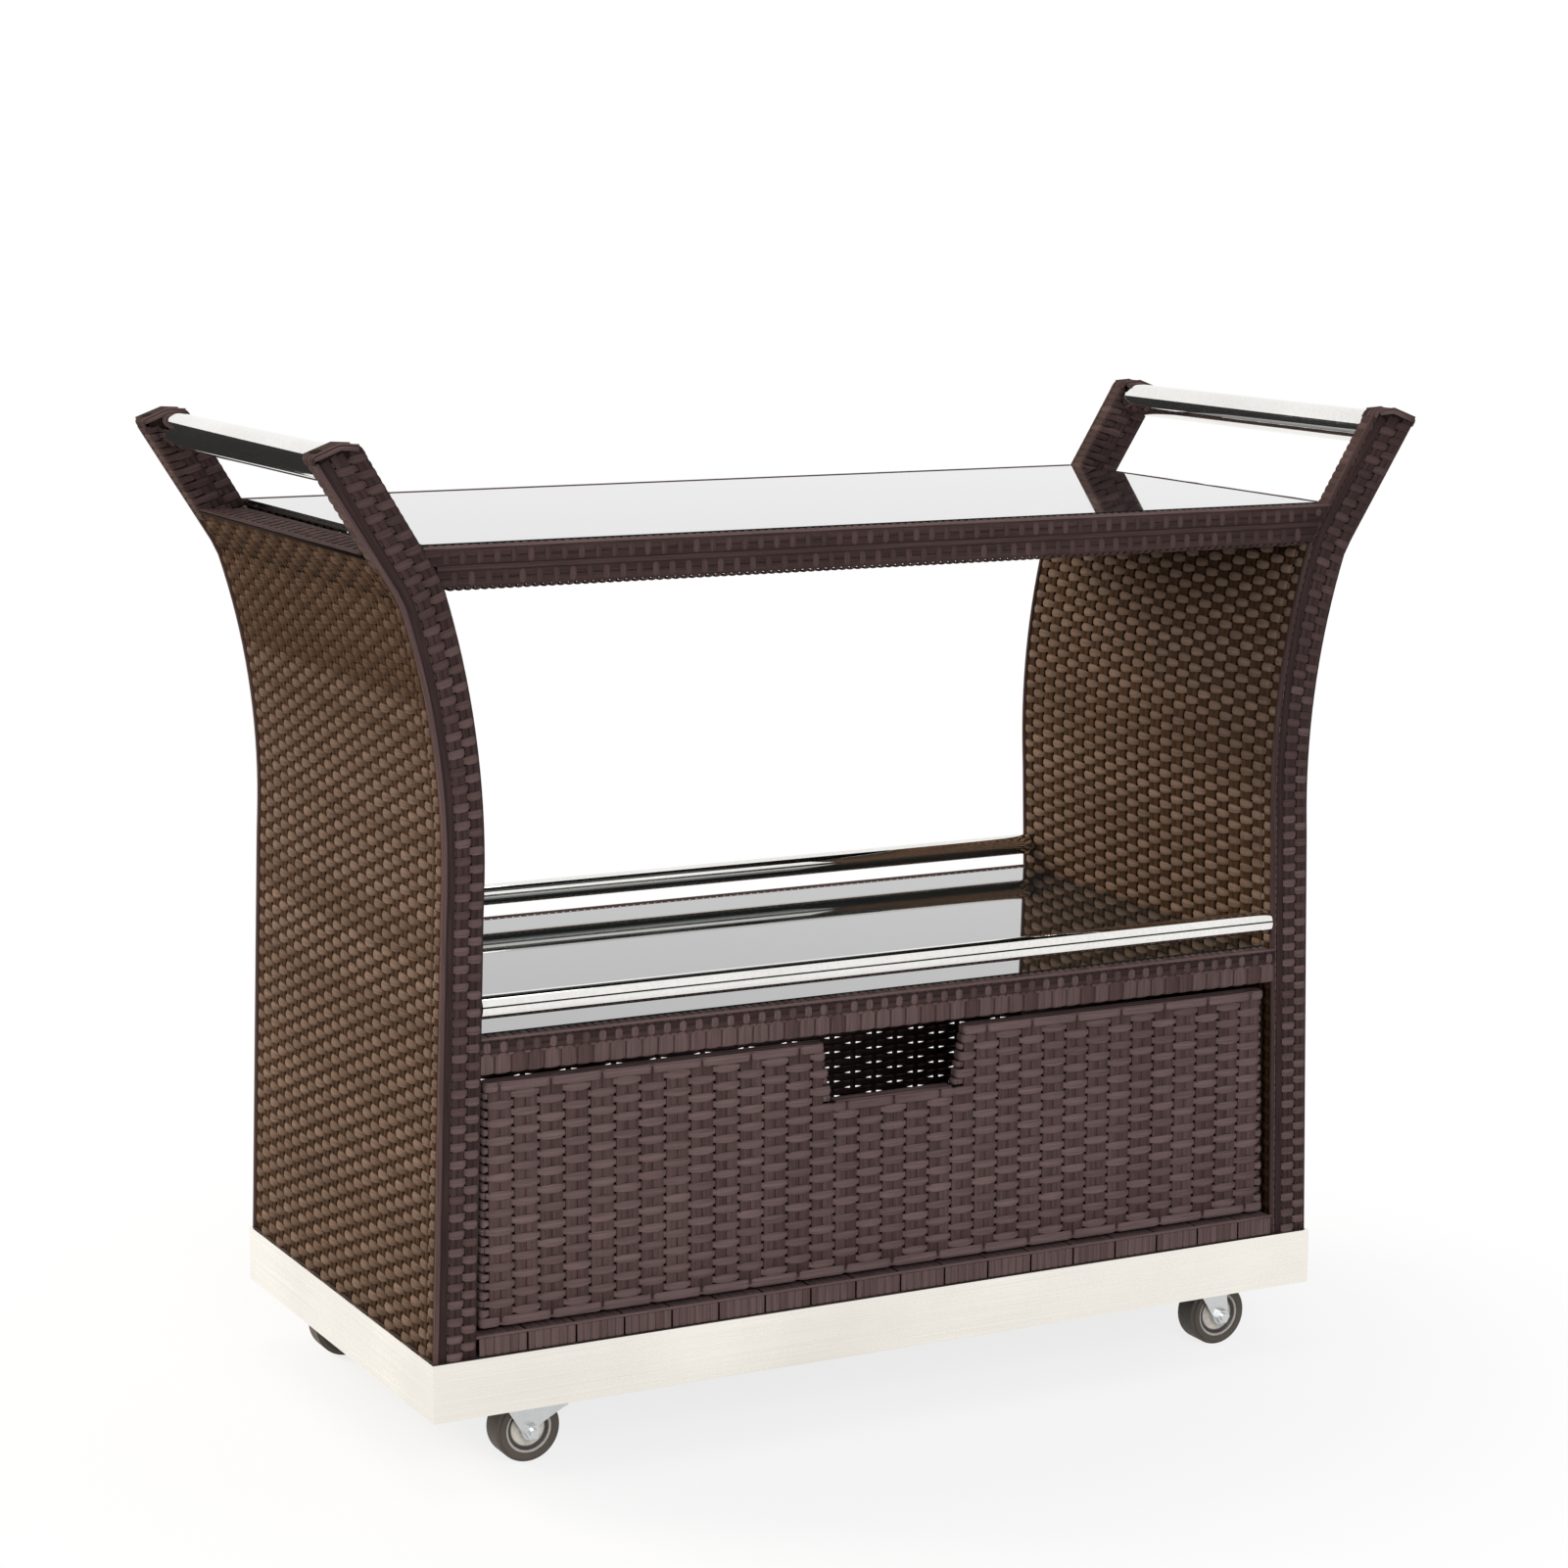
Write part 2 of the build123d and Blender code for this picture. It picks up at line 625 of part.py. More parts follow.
def write_casters():
    """The base board and the four casters under it."""
    board = block(
        (-BODY_HALF_LONG, -BODY_HALF_DEEP, MOUNT_HEIGHT), (BODY_HALF_LONG, BODY_HALF_DEEP, BODY_FOOT)
    )
    plates = []
    pins = []
    screws = []
    for end in ENDS:
        for side in SIDES:
            place = caster_place(end, side)
            corner = f"{end}_{side}"
            braked = corner in BRAKED
            plates.append(place * make_caster_plate())
            pins.append(place * make_king_pin())
            screws += [place * screw for screw in make_caster_screws()]
            write(place * make_fork(braked), f"fork_{corner}")
            write(group(place * piece for piece in make_axle()), f"axle_{corner}")
            write(place * make_hub(), f"wheel_{corner}")
            write(place * make_tyre(), f"tyre_{corner}")
            if braked:
                write(place * make_pedal(), f"brake_pedal_{corner}")
    for screw in screws:
        board -= screw
    write(board, "base_board")
    write(group(plates), "caster_plates")
    write(group(pins), "king_pins")
    write(group(screws), "caster_screws")


write_body(make_posts())
write_drawer()
write_casters()
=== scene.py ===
import math

import bpy
import numpy as np
from mathutils import Matrix, Vector
from numpy.linalg import norm


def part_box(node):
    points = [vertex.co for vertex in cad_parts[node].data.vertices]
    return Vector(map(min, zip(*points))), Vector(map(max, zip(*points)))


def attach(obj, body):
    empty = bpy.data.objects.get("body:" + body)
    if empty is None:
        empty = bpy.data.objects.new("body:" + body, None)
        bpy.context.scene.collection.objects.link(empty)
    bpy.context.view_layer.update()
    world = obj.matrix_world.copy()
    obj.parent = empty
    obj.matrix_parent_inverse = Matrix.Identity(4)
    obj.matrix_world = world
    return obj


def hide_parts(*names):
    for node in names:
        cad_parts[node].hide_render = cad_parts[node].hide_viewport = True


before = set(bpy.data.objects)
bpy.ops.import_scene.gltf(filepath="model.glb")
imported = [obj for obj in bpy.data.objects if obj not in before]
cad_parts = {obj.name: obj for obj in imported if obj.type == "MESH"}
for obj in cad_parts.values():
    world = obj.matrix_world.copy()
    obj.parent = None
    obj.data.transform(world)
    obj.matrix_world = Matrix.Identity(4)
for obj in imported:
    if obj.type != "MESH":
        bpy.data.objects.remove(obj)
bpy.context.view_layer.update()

# Shapes are worked out in millimetres and scaled to metres when a mesh is made.
MM = 0.001
SIDES = {"right": 1, "left": -1}
ENDS = {"front": -1, "rear": 1}
UP = np.array([0, 0, 1])
TINY = 1e-6

# Chance differences: their seed, and a shift that keeps keys positive.
SEED = 11
KEY_SHIFT = 1000

# Layers of weave, which share their chance differences from piece to piece.
OUTER_LAYER, INNER_LAYER, POST_LAYER, RAIL_LAYER, DRAWER_LAYER, BACK_LAYER, BAR_LAYER, CAP_LAYER = range(8)

# Outline of a right-hand side seen from the front: foot, waist, middle of the bend, kink and wing tip.
OUTER_OUTLINE = ((478, 125), (466, 540), (475.5, 710), (503, 818), (584, 946))
INNER_OUTLINE = ((435.5, 125), (424.5, 540), (432, 710), (461, 836), (535, 957))
WING_CROWN = (556, 959)

# Places where an edge is sampled: all of it, and from its upper bend to its tip.
ALL_PLACES = np.linspace(0, 3, 601)
HIGH_PLACES = np.linspace(1.8, 3, 301)
PLACE_NUDGE = 0.002

# Weave rows up a side, counted over the straight leg, the bend and the straight wing.
LEG_ROWS = 51
BEND_ROWS = 36
WING_ROWS = 18
KINK_ROW = LEG_ROWS + BEND_ROWS
ALL_ROWS = KINK_ROW + WING_ROWS
ROW_MIDDLE = 0.5
ROW_NUDGE = 0.1

# Rows of the cross bar's faces and the inner skin, and where other zones begin or end.
BAR_OUTER_ROWS = 5
BAR_INNER_ROWS = 4
INNER_ROWS = 85
# Inner rows below this row take the darkest tint, as painted shade in the drawer bay.
SHADED_BAY_ROWS = 32
LOOP_ROW = 91
# Outer rows darken up to this row, as painted shade under the overhang.
OVERHANG_SHADE_ROW = 75

# Strands: steps along them in millimetres or rows, and the stakes and cores behind them.
STEP = 3.5
WRAP_STEP = 2.2
CORNER_STEPS = 5
STAKE_ROW_STEP = 2
CORE_ROW_STEP = 3
STAKE_HALF_THICK = 0.6
CORE_DEPTH = 10
CORE_HALF_THICK = 0.75

# Sides: where strands dive in beside the posts, how deep, and how their rise differs.
SIDE_DIVE_FROM = 226
SIDE_END = 235
SIDE_DIVE_DEPTH = 2
RISE_SPREAD = 0.08

# Posts: stakes as shares of the width, and a dark groove beside the corner strand, whose strip has the
# darkest tint as painted shade.
POST_STAKES = (0.48, 0.83)
POST_RECESS = 0.31
RECESS_DROP = 2
GROOVE_DEPTH = 2.6
POST_FULL_WIDE = 4.4
POST_EDGE_DEPTH = 1.8
POST_EDGE = 4
POST_CORE_INSET = 7.5
WRAP_RADIUS = 4
WRAP_RETURN = 7.5
CORNER_RADIUS = 2.7
CORNER_LEAN = np.array([-0.6, 0, 0])
ROW_START = 1.2 * CORNER_RADIUS
GROOVE_DROP = 2.4
STAKE_TOP = ALL_ROWS - 0.5
CORNER_TOP = ALL_ROWS - 0.9
CORE_TOP = ALL_ROWS - 1.5

# Caps over the wings: strips over the top, borders along the faces and a core.
CAP_STRIPS = 4
CAP_FLAP = 8
CAP_INSET = 2.6
CAP_BORDER_HALF = 3.2
CAP_BORDER_DEPTH = 1.1
CAP_CORE_HALF = 6
CAP_CORE_INSET = 3

# Cross bars: strips along the top and strands across them.
BAR_STRIPS = 6
TOP_HALF_THICK = 1.2
BAR_INSET = 3
BAR_OVERLAP = 0.2
BAR_DEPTH = 2.6
BAR_EDGE_DEPTH = 1.6
BAR_WAVE = 0.12
BAR_STEP = 20
CROSS_PITCH = 8.2
CROSS_HALF_WIDE = 3.9
CROSS_HALF_THICK = 0.8
CROSS_DEPTH = 2.2
CROSS_RELIEF = 1.3
CROSS_STEP = 2

# Rails: the stakes' middles are given as drops from the top edge.
TOP_STAKES = (10.5, 29.5)
SHELF_STAKES = (10.0,)
RAIL_PITCH = 8.15
RAIL_FADE_END = 9
RAIL_FADE = 4
RAIL_STEP = 60
RAIL_JOIN = 3
CORE_INSET = 6
LIP_CORE_INSET = 3.6
LIP_CORE_GAP = 0.4
BEAD_RADIUS = 1.5
BEAD_STEP = 30
FLAT_HALF_THICK = 0.8
FLAT_HALF_WIDE = 4.3
FLAT_INSET = 1
SEAM_WRAPS = 6
SEAM_GAP = 1.8
FOOT_HALF_WIDE = 7.9
FOOT_RUN = 1.2
FOOT_SINK = 1.4
BINDER_HALF_WIDE = 2.4
BINDER_LIFT = 0.8
GLASS_STEP = 17
GLASS_DROP = 8.5

# Drawer front: rows, notch, border rows and upper edges.
DRAWER_ROWS = 27
DRAWER_STEP = 4.2
DRAWER_HALF_LOW = 430.5
DRAWER_HALF = 424.3
DRAWER_FADE_END = 7
DRAWER_FADE = 3
DRAWER_INSET = 3
NOTCH_FLOOR = 321
NOTCH_HALF_LOW = 65
NOTCH_HALF = 76
NOTCH_ROW = 20
SHOULDERS = ((-DRAWER_HALF, -NOTCH_HALF), (NOTCH_HALF, DRAWER_HALF))
BORDER_HALF_WIDE = 4.9
BORDER_LIFT = 1.2
BORDER_DIP = 2.2
BORDER_DROP = 4
BORDER_STEP = 3
EDGE_SHARES = (0.27, 0.73)
EDGE_GAP = 0.6
EDGE_INSET = 2
EDGE_STEP = 30
UPRIGHT_STEP = 40

# Back panel: an open weave of rows and single stakes.
BACK_ROW_PITCH = 8.38
BACK_STAKE_PITCH = 26.2
BACK_HALF_WIDE = 3.65
BACK_WIDEN = 0.8
BACK_HALF_THICK = 1
BACK_LIFT = 2.3
BACK_STAKE_HALF = 3.3

# Sections of a strand, a flat strip and a core, in half widths and half thicknesses.
ROUND = np.array(
    [(-1, -0.4), (-0.84, 0.38), (-0.46, 0.86), (0, 1), (0.46, 0.86), (0.84, 0.38), (1, -0.4), (0, -0.9)]
)
STRIP = np.array([(-1, -0.5), (-0.93, 0.8), (0, 1), (0.93, 0.8), (1, -0.5), (0, -1)])
SLAB = np.array([(-1, -1), (-1, 1), (1, 1), (1, -1)])
STRAND_SLOT = 0
CORE_SLOT = 1

# Map for baked colours: gaps between strands, spare width and the scale of cores.
TILE_GAP = 1.5
TILE_ROOM = 3 * TILE_GAP
TILE_SPARE = 1.1
CORE_TILE_SCALE = 0.05

# Tints from dark to light, in cool brown below 0.5 and in warm brown above. The warm half is painted warm
# light: the side faces take it, while posts, rails and the drawer take the cool half.
WARM_LIT = 0.5
LIGHTEST = 0.48
STRAND_TINT = 0.14
# Stakes and the strips under the strands take tints darker than the strands: painted shade in the recesses
# between bumps, on the wing caps and on the cross-bar tops.
STAKE_SHADE_TINT = 0.10
FRAME_STAKE_SHADE_TINT = 0.04
STRAND_TINTS = (STRAND_TINT, LIGHTEST)
FRAME_TINTS = (0.11, 0.26)
# Posts and rails darken towards these tints higher up, as painted shade on the upper frame and the wings.
WING_SHADE_TINTS = (0.02, 0.08)
# Darker tints at the top of the outer side, painted shade under the overhang.
OVERHANG_SHADE_TINTS = (0.10, 0.12)
# The drawer's stakes are darker than its strands, as painted shade in the recesses.
DRAWER_STAKE_SHADE_TINTS = (0.06, 0.11)
WICKER_TINTS = (
    (0, (0.038, 0.024, 0.023, 1)),
    (STAKE_SHADE_TINT, (0.088, 0.056, 0.053, 1)),
    (STRAND_TINT, (0.115, 0.077, 0.074, 1)),
    (LIGHTEST, (0.152, 0.104, 0.101, 1)),
    (WARM_LIT, (0.040, 0.021, 0.011, 1)),
    (WARM_LIT + STAKE_SHADE_TINT, (0.056, 0.030, 0.016, 1)),
    (WARM_LIT + STRAND_TINT, (0.120, 0.079, 0.057, 1)),
    (1, (0.172, 0.118, 0.088, 1)),
)

# Rings of a wheel core from middle to rim: pale web, dark dish and light rim.
WHEEL_RINGS = (
    (0, (0.66, 0.63, 0.57, 1)),
    (0.70, (0.62, 0.59, 0.53, 1)),
    (0.76, (0.05, 0.04, 0.035, 1)),
    (0.88, (0.06, 0.05, 0.045, 1)),
    (0.92, (0.50, 0.47, 0.43, 1)),
    (1, (0.50, 0.47, 0.43, 1)),
)

# Looks of the wicker and of the glass, and the range in which noise mostly lies.
WICKER_LOOK = {"Specular IOR Level": 0.03}
GLASS_LOOK = {"IOR": 1.5, "Coat Weight": 1.0, "Coat IOR": 1.5, "Coat Roughness": 0.02}
NOISE_LOW = 0.3
NOISE_HIGH = 0.7

# Surroundings in metres: the floor, where its shadow fades, and its least white.
AMBIENT = 0.25
AMBIENT_COLOUR = (1.0, 0.98, 0.96, 1)
WHITE = (1, 1, 1, 1)
FLOOR_HALF = 9
FLOOR_LOOK = {"Base Color": (0.9, 0.9, 0.9, 1), "Roughness": 0.9, "Specular IOR Level": 0}
FADE_START = 0.35
FADE_END = 1
FLOOR_WHITE = 0.8
LAMP_AIM = (0, 0, 0.5)

# Camera, solved from the straight edges of the photograph.
PICTURE_PIXELS = 1601
FOCAL_PIXELS = 3793.71
SENSOR = 36
CAMERA_YAW = math.radians(27.65)
CAMERA_PITCH = math.radians(9.864)
CAMERA_ROLL = math.radians(-0.361)
CAMERA_PLACE = (-1.6912, -3.2311, 1.2174)


def box_mm(node):
    """Lowest and highest corner of a node in millimetres."""
    return [np.array(corner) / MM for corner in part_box(node)]


# From the frame: faces and backs of posts and rails, from the middle, and the drawer front.
FRAME_FACE, FRAME_INSIDE = (-corner[1] for corner in box_mm("post_front_left"))
FRAME_DEEP = FRAME_FACE - FRAME_INSIDE
(_, DRAWER_FACE, DRAWER_LOW), (_, DRAWER_BACK, DRAWER_TOP) = box_mm("drawer_front")
DRAWER_DEEP = DRAWER_BACK - DRAWER_FACE


def unit(vectors):
    """Vectors of length one."""
    return vectors / norm(vectors, axis=-1, keepdims=True)


def spaced(low, high, step):
    """Even values from low to high, about a step apart."""
    return np.linspace(low, high, max(2, round(abs(high - low) / step) + 1))


def divided(start, end, step):
    """Points in a straight line, about a step apart."""
    return start + unit(end - start) * spaced(0, norm(end - start), step)[:, None]


def points(x, y, z):
    """Points from coordinates, each one value or an array."""
    return np.stack(np.broadcast_arrays(x, y, z), -1)


def lengths(path):
    """Length of a path up to each of its points."""
    return np.concatenate([[0], np.cumsum(norm(np.diff(path, axis=0), axis=1))])


def luck(*key):
    """Chance numbers that stay the same for one key."""
    return np.random.default_rng((SEED, *key))


class Weave:
    """How strands pass over and under stakes, each of two strips and with a slit to the next.

    Softness rounds the strands' bumps, and taper narrows them where they dive.
    """

    def __init__(self, pitch, bump, relief, half_wide, half_thick, softness, taper, slit):
        self.pitch, self.relief, self.softness, self.taper = pitch, relief, softness, taper
        self.half_wide, self.half_thick = half_wide, half_thick
        self.crossing = math.cos(math.pi * bump / pitch / 2)
        self.depth = self.lift(0) + half_thick
        self.strip_half = (pitch - slit) / 4
        self.strips = (-self.strip_half, self.strip_half)

    def bend(self, phase):
        """From -1 under a stake, at odd phases, to 1 over one."""
        wave = np.cos(np.pi * phase) - self.crossing
        return wave / np.sqrt(wave**2 + self.softness)

    def lift(self, phase):
        """Height of a strand's middle over the stakes' middle."""
        return self.relief * self.bend(phase) + STAKE_HALF_THICK - self.half_thick

    def wide(self, phase):
        """Half width of a strand."""
        return self.half_wide * (1 - self.taper * (1 - np.clip(self.bend(phase), 0, 1)))


SIDE_WEAVE = Weave(21, 18, 2.8, 4.9, 1.5, softness=0.10, taper=0.30, slit=3.6)
POST_WEAVE = Weave(14.5, 12.8, 1.7, 4.3, 1.2, softness=0.03, taper=0.12, slit=1.8)
TOP_WEAVE = Weave(19, 12, 1.5, 3.7, 1.1, softness=0.08, taper=0.25, slit=3.5)
SHELF_WEAVE = Weave(14.5, 9, 1.3, 3.9, 1.0, softness=0.08, taper=0.0, slit=3.0)
DRAWER_WEAVE = Weave(25.5, 23.0, 2.3, 4.8, 1.5, softness=0.20, taper=0.32, slit=2.6)


def strand_tint(chance, darkest=STRAND_TINT, lightest=LIGHTEST):
    """Cool tint of a strand or strip."""
    return darkest + (lightest - darkest) * chance.random()


def faded(value, stops, first, last):
    """Darkest and lightest tint between two ranges."""
    return [np.interp(value, stops, pair) for pair in zip(first, last)]


def frame_tint(chance, height):
    """Tint round a post or a rail, darker higher up as painted shade."""
    heights = (OUTER_OUTLINE[0][1], OUTER_OUTLINE[-1][1])
    return strand_tint(chance, *faded(height, heights, FRAME_TINTS, WING_SHADE_TINTS))


class Edge:
    """One edge of a side's outline, followed by a place: 0 to 1 leg, 1 to 2 bend, 2 to 3 wing."""

    def __init__(self, name, outline, outward, layer):
        self.name = name
        self.layer = layer
        self.foot, self.waist, bulge, self.kink, self.tip = np.array(outline, float)
        self.outward = outward
        ends = np.array([bulge, self.kink])
        halves = (np.sum(ends**2, axis=1) - self.waist @ self.waist) / 2
        self.centre = np.linalg.solve(ends - self.waist, halves)
        self.radius = norm(self.waist - self.centre)
        self.bend = [self.angle(self.waist), self.angle(self.kink)]

    def angle(self, point):
        """Angle of a point seen from the bend's centre."""
        return math.atan2(point[1] - self.centre[1], self.centre[0] - point[0])

    def at(self, place):
        """X and Z at a place or at each of many."""
        place = np.asarray(place, float)[..., None]
        leg = self.foot + (self.waist - self.foot) * place
        turn = self.bend[0] + (self.bend[1] - self.bend[0]) * (place - 1)
        bend = self.centre + self.radius * np.concatenate([-np.cos(turn), np.sin(turn)], -1)
        wing = self.kink + (self.tip - self.kink) * (place - 2)
        return np.where(place < 1, leg, np.where(place < 2, bend, wing))

    def normal(self, place):
        """Direction out of the side, in X and Z."""
        place = np.asarray(place)
        along = unit(self.at(place + PLACE_NUDGE) - self.at(place - PLACE_NUDGE))
        return self.outward * np.stack([along[..., 1], -along[..., 0]], -1)

    def x_at(self, height):
        """X where the edge passes a height."""
        x, heights = self.at(ALL_PLACES).T
        return np.interp(height, heights, x)

    def z_at(self, x):
        """Height where the bend or the wing passes an X."""
        return np.interp(x, *self.at(HIGH_PLACES).T, left=0)


OUTER = Edge("outer", OUTER_OUTLINE, 1, OUTER_LAYER)
INNER = Edge("inner", INNER_OUTLINE, -1, INNER_LAYER)


def place_of(row):
    """Place of a weave row along an edge."""
    return np.interp(row, (0, LEG_ROWS, KINK_ROW, ALL_ROWS), (0, 1, 2, 3))


class Piece:
    """Mesh of many closed strands, collected in millimetres, that stands for a node."""

    def __init__(self, node):
        self.node = node
        self.low, self.high = box_mm(node)
        self.points, self.marks, self.quads, self.slots, self.smooth, self.tiles = ([] for _ in range(6))
        self.count = 0

    def strand(self, path, normal, half_wide, half_thick, tint, section=ROUND, slot=STRAND_SLOT):
        """Add a closed strand along a path, its wide face towards the normal."""
        path = np.asarray(path, float)
        along = unit(np.gradient(path, axis=0))
        normal = np.broadcast_to(normal, path.shape)
        normal = unit(normal - along * np.sum(normal * along, axis=1, keepdims=True))
        across = np.cross(along, normal)
        wide = np.broadcast_to(half_wide, len(path))[:, None, None]
        rings = path[:, None] + across[:, None] * section[:, :1] * wide
        rings = rings + normal[:, None] * section[:, 1:] * half_thick
        count, corners = rings.shape[:2]
        index = self.count + np.arange(count * corners).reshape(count, corners)
        beside = np.roll(index, -1, axis=1)
        tube = np.stack([index[:-1], beside[:-1], beside[1:], index[1:]], -1).reshape(-1, 4)
        fans = [[0, first, first + 1, first + 2] for first in range(1, corners - 2, 2)]
        caps = [index[0][fan[::-1]] for fan in fans] + [index[-1][fan] for fan in fans]
        length = lengths(path)
        around = norm(rings[0] - np.roll(rings[0], -1, axis=0), axis=1).sum()
        scale = CORE_TILE_SCALE if slot else 1
        marks = points(length[:, None] * MM, np.arange(corners) / corners, tint)
        self.points.append(rings.reshape(-1, 3))
        self.marks.append(marks.reshape(-1, 3))
        self.quads.append(np.concatenate([tube, caps]))
        faces = np.arange(len(tube) + len(caps))
        self.slots.append(np.full_like(faces, slot))
        self.smooth.append(faces < len(tube))
        self.tiles.append((length * scale, around * scale, corners, len(caps)))
        self.count += count * corners

    def strip(self, path, normal, half_wide, tint):
        """Add a flat strip along a path."""
        self.strand(path, normal, half_wide, STAKE_HALF_THICK, tint, STRIP)

    def core(self, path, normal, half_wide, half_thick):
        """Add a dark slab along a path, as painted shade inside the weave."""
        self.strand(path, normal, half_wide, half_thick, 0, SLAB, CORE_SLOT)

    def wrap(self, corners, origin, axes, shape, half_thick, tint, step=STEP, up=None):
        """Add a strand round corners, drawn in two axes; shape gives its rise and width, up its lean."""
        flat = rounded(corners, step)
        along = unit(np.gradient(flat, axis=0))
        rise, half_wide = shape(flat)
        normal = np.stack([along[:, 1], -along[:, 0]], -1) @ axes
        if up is not None:
            turned = np.cross(up, along @ axes)
            normal = unit(turned) * np.sign(np.sum(turned * normal, axis=1, keepdims=True))
        path = origin + flat @ axes + normal * rise[:, None]
        self.strand(path, normal, half_wide, half_thick, tint)

    def bake_map(self):
        """Corners of the quads in a map where each strand has its own tile."""
        area = sum(length[-1] * around for length, around, _, _ in self.tiles)
        longest = max(tile[0][-1] for tile in self.tiles)
        wide = max(math.sqrt(area) * TILE_SPARE, longest + TILE_ROOM)
        left = low = high = 0.0
        corners_of = []
        for length, around, corners, caps in self.tiles:
            if left + length[-1] + TILE_ROOM > wide:
                left = 0.0
                low = high + TILE_GAP
            high = max(high, low + around)
            start = np.repeat(length[:-1], corners)
            stop = np.repeat(length[1:], corners)
            under = np.tile(np.arange(corners) * around / corners, len(length) - 1)
            over = under + around / corners
            tube = [start, under, start, over, stop, over, stop, under]
            under = np.arange(caps) * around / caps
            over = under + around / caps
            near = np.full(caps, length[-1] + TILE_GAP)
            far = near + TILE_GAP
            ends = [near, under, near, over, far, over, far, under]
            corners_of.append(np.concatenate([tube, ends], 1).T.reshape(-1, 4, 2) + (left, low))
            left += length[-1] + TILE_ROOM
        return np.concatenate(corners_of) / max(wide, high)

    def finish(self, body="root"):
        """Make the mesh, which rides on a body."""
        node = self.node
        name = f"wicker_{node}"
        corners = np.concatenate(self.points) * MM
        quads = np.concatenate(self.quads)
        mesh = bpy.data.meshes.new(name)
        mesh.vertices.add(len(corners))
        mesh.vertices.foreach_set("co", corners.ravel())
        mesh.loops.add(quads.size)
        mesh.loops.foreach_set("vertex_index", quads.ravel())
        mesh.polygons.add(len(quads))
        mesh.polygons.foreach_set("loop_start", np.arange(len(quads)) * quads.shape[1])
        mesh.polygons.foreach_set("material_index", np.concatenate(self.slots))
        mesh.polygons.foreach_set("use_smooth", np.concatenate(self.smooth))
        marks = mesh.attributes.new("strand", "FLOAT_VECTOR", "POINT")
        marks.data.foreach_set("vector", np.concatenate(self.marks).ravel())
        tiles = mesh.uv_layers.new(name="OFBake")
        tiles.data.foreach_set("uv", self.bake_map().ravel())
        mesh.update()
        mesh.validate()
        mesh.materials.append(WICKER)
        mesh.materials.append(SHADE_CORE)
        woven = new_object(name, mesh)
        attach(woven, body)
        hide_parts(node)


def new_object(name, data):
    """Object put into the scene."""
    made = bpy.data.objects.new(name, data)
    bpy.context.scene.collection.objects.link(made)
    return made


def rounded(corners, step):
    """Path with rounded corners, its straight runs divided by step."""
    corners = np.asarray(corners, float)
    share = np.linspace(0, 1, CORNER_STEPS)[:, None]
    runs = []
    start = corners[0]
    for before, corner, after in zip(corners, corners[1:], corners[2:]):
        ways = [before - corner, after - corner]
        enter, leave = [corner + unit(way) * min(WRAP_RADIUS, norm(way) / 2) for way in ways]
        if norm(enter - start) > TINY:
            runs.append(divided(start, enter, step)[:-1])
        bend = (1 - share) ** 2 * enter + 2 * share * (1 - share) * corner + share**2 * leave
        runs.append(bend[:-1])
        start = leave
    runs.append(divided(start, corners[-1], step))
    return np.concatenate(runs)


def new_material(name, look):
    """Material and its shader, with constants set on the shader's sockets."""
    material = bpy.data.materials.new(name)
    material.use_nodes = True
    shader = material.node_tree.nodes["Principled BSDF"]
    for key, value in look.items():
        shader.inputs[key].default_value = value
    return material, shader


def feed(socket, value):
    """Link a socket or set it to a constant."""
    if isinstance(value, bpy.types.NodeSocket):
        socket.id_data.links.new(value, socket)
    else:
        socket.default_value = value


def add_node(mate, kind, inputs, **settings):
    """New shader node beside a node or a socket, with settings and inputs."""
    node = mate.id_data.nodes.new(f"ShaderNode{kind}")
    for name, value in settings.items():
        setattr(node, name, value)
    for key, value in inputs.items():
        feed(node.inputs[key], value)
    return node


def noise(vector, detail, scale=1):
    """Noise read at a vector, from 0 to 1."""
    return add_node(vector, "TexNoise", {"Vector": vector, "Scale": scale, "Detail": detail}).outputs["Fac"]


def stretched(vector, scale):
    """A vector with each of its axes scaled."""
    return add_node(vector, "VectorMath", {0: vector, 1: scale}, operation="MULTIPLY").outputs[0]


def length_of(vector):
    """Length of a vector."""
    return add_node(vector, "VectorMath", {0: vector}, operation="LENGTH").outputs["Value"]


def product(first, second):
    """Two values multiplied."""
    return add_node(first, "Math", {0: first, 1: second}, operation="MULTIPLY").outputs[0]


def object_place(mate):
    """Place in the object's own frame."""
    return add_node(mate, "TexCoord", {}).outputs["Object"]


def ranged(value, low, high):
    """A noise value spread over low to high."""
    inputs = {"Value": value, "From Min": NOISE_LOW, "From Max": NOISE_HIGH, "To Min": low, "To Max": high}
    return add_node(value, "MapRange", inputs).outputs["Result"]


def colour_ramp(value, stops):
    """Colour at a value, from a ramp with stops from 0 to 1."""
    node = add_node(value, "ValToRGB", {"Fac": value})
    elements = node.color_ramp.elements
    elements[0].color = stops[0][1]
    elements[1].color = stops[-1][1]
    for place, colour in stops[1:-1]:
        elements.new(place).color = colour
    return node.outputs["Color"]


def painted(shader, colour, light, roughness):
    """Give a shader a colour, with a light around 1, and a roughness."""
    node = add_node(shader, "HueSaturation", {"Value": light, "Color": colour})
    feed(shader.inputs["Base Color"], node.outputs["Color"])
    feed(shader.inputs["Roughness"], roughness)


def bumped(shader, height, strength, distance):
    """Give a shader small relief."""
    node = add_node(shader, "Bump", {"Height": height, "Strength": strength, "Distance": distance})
    feed(shader.inputs["Normal"], node.outputs["Normal"])


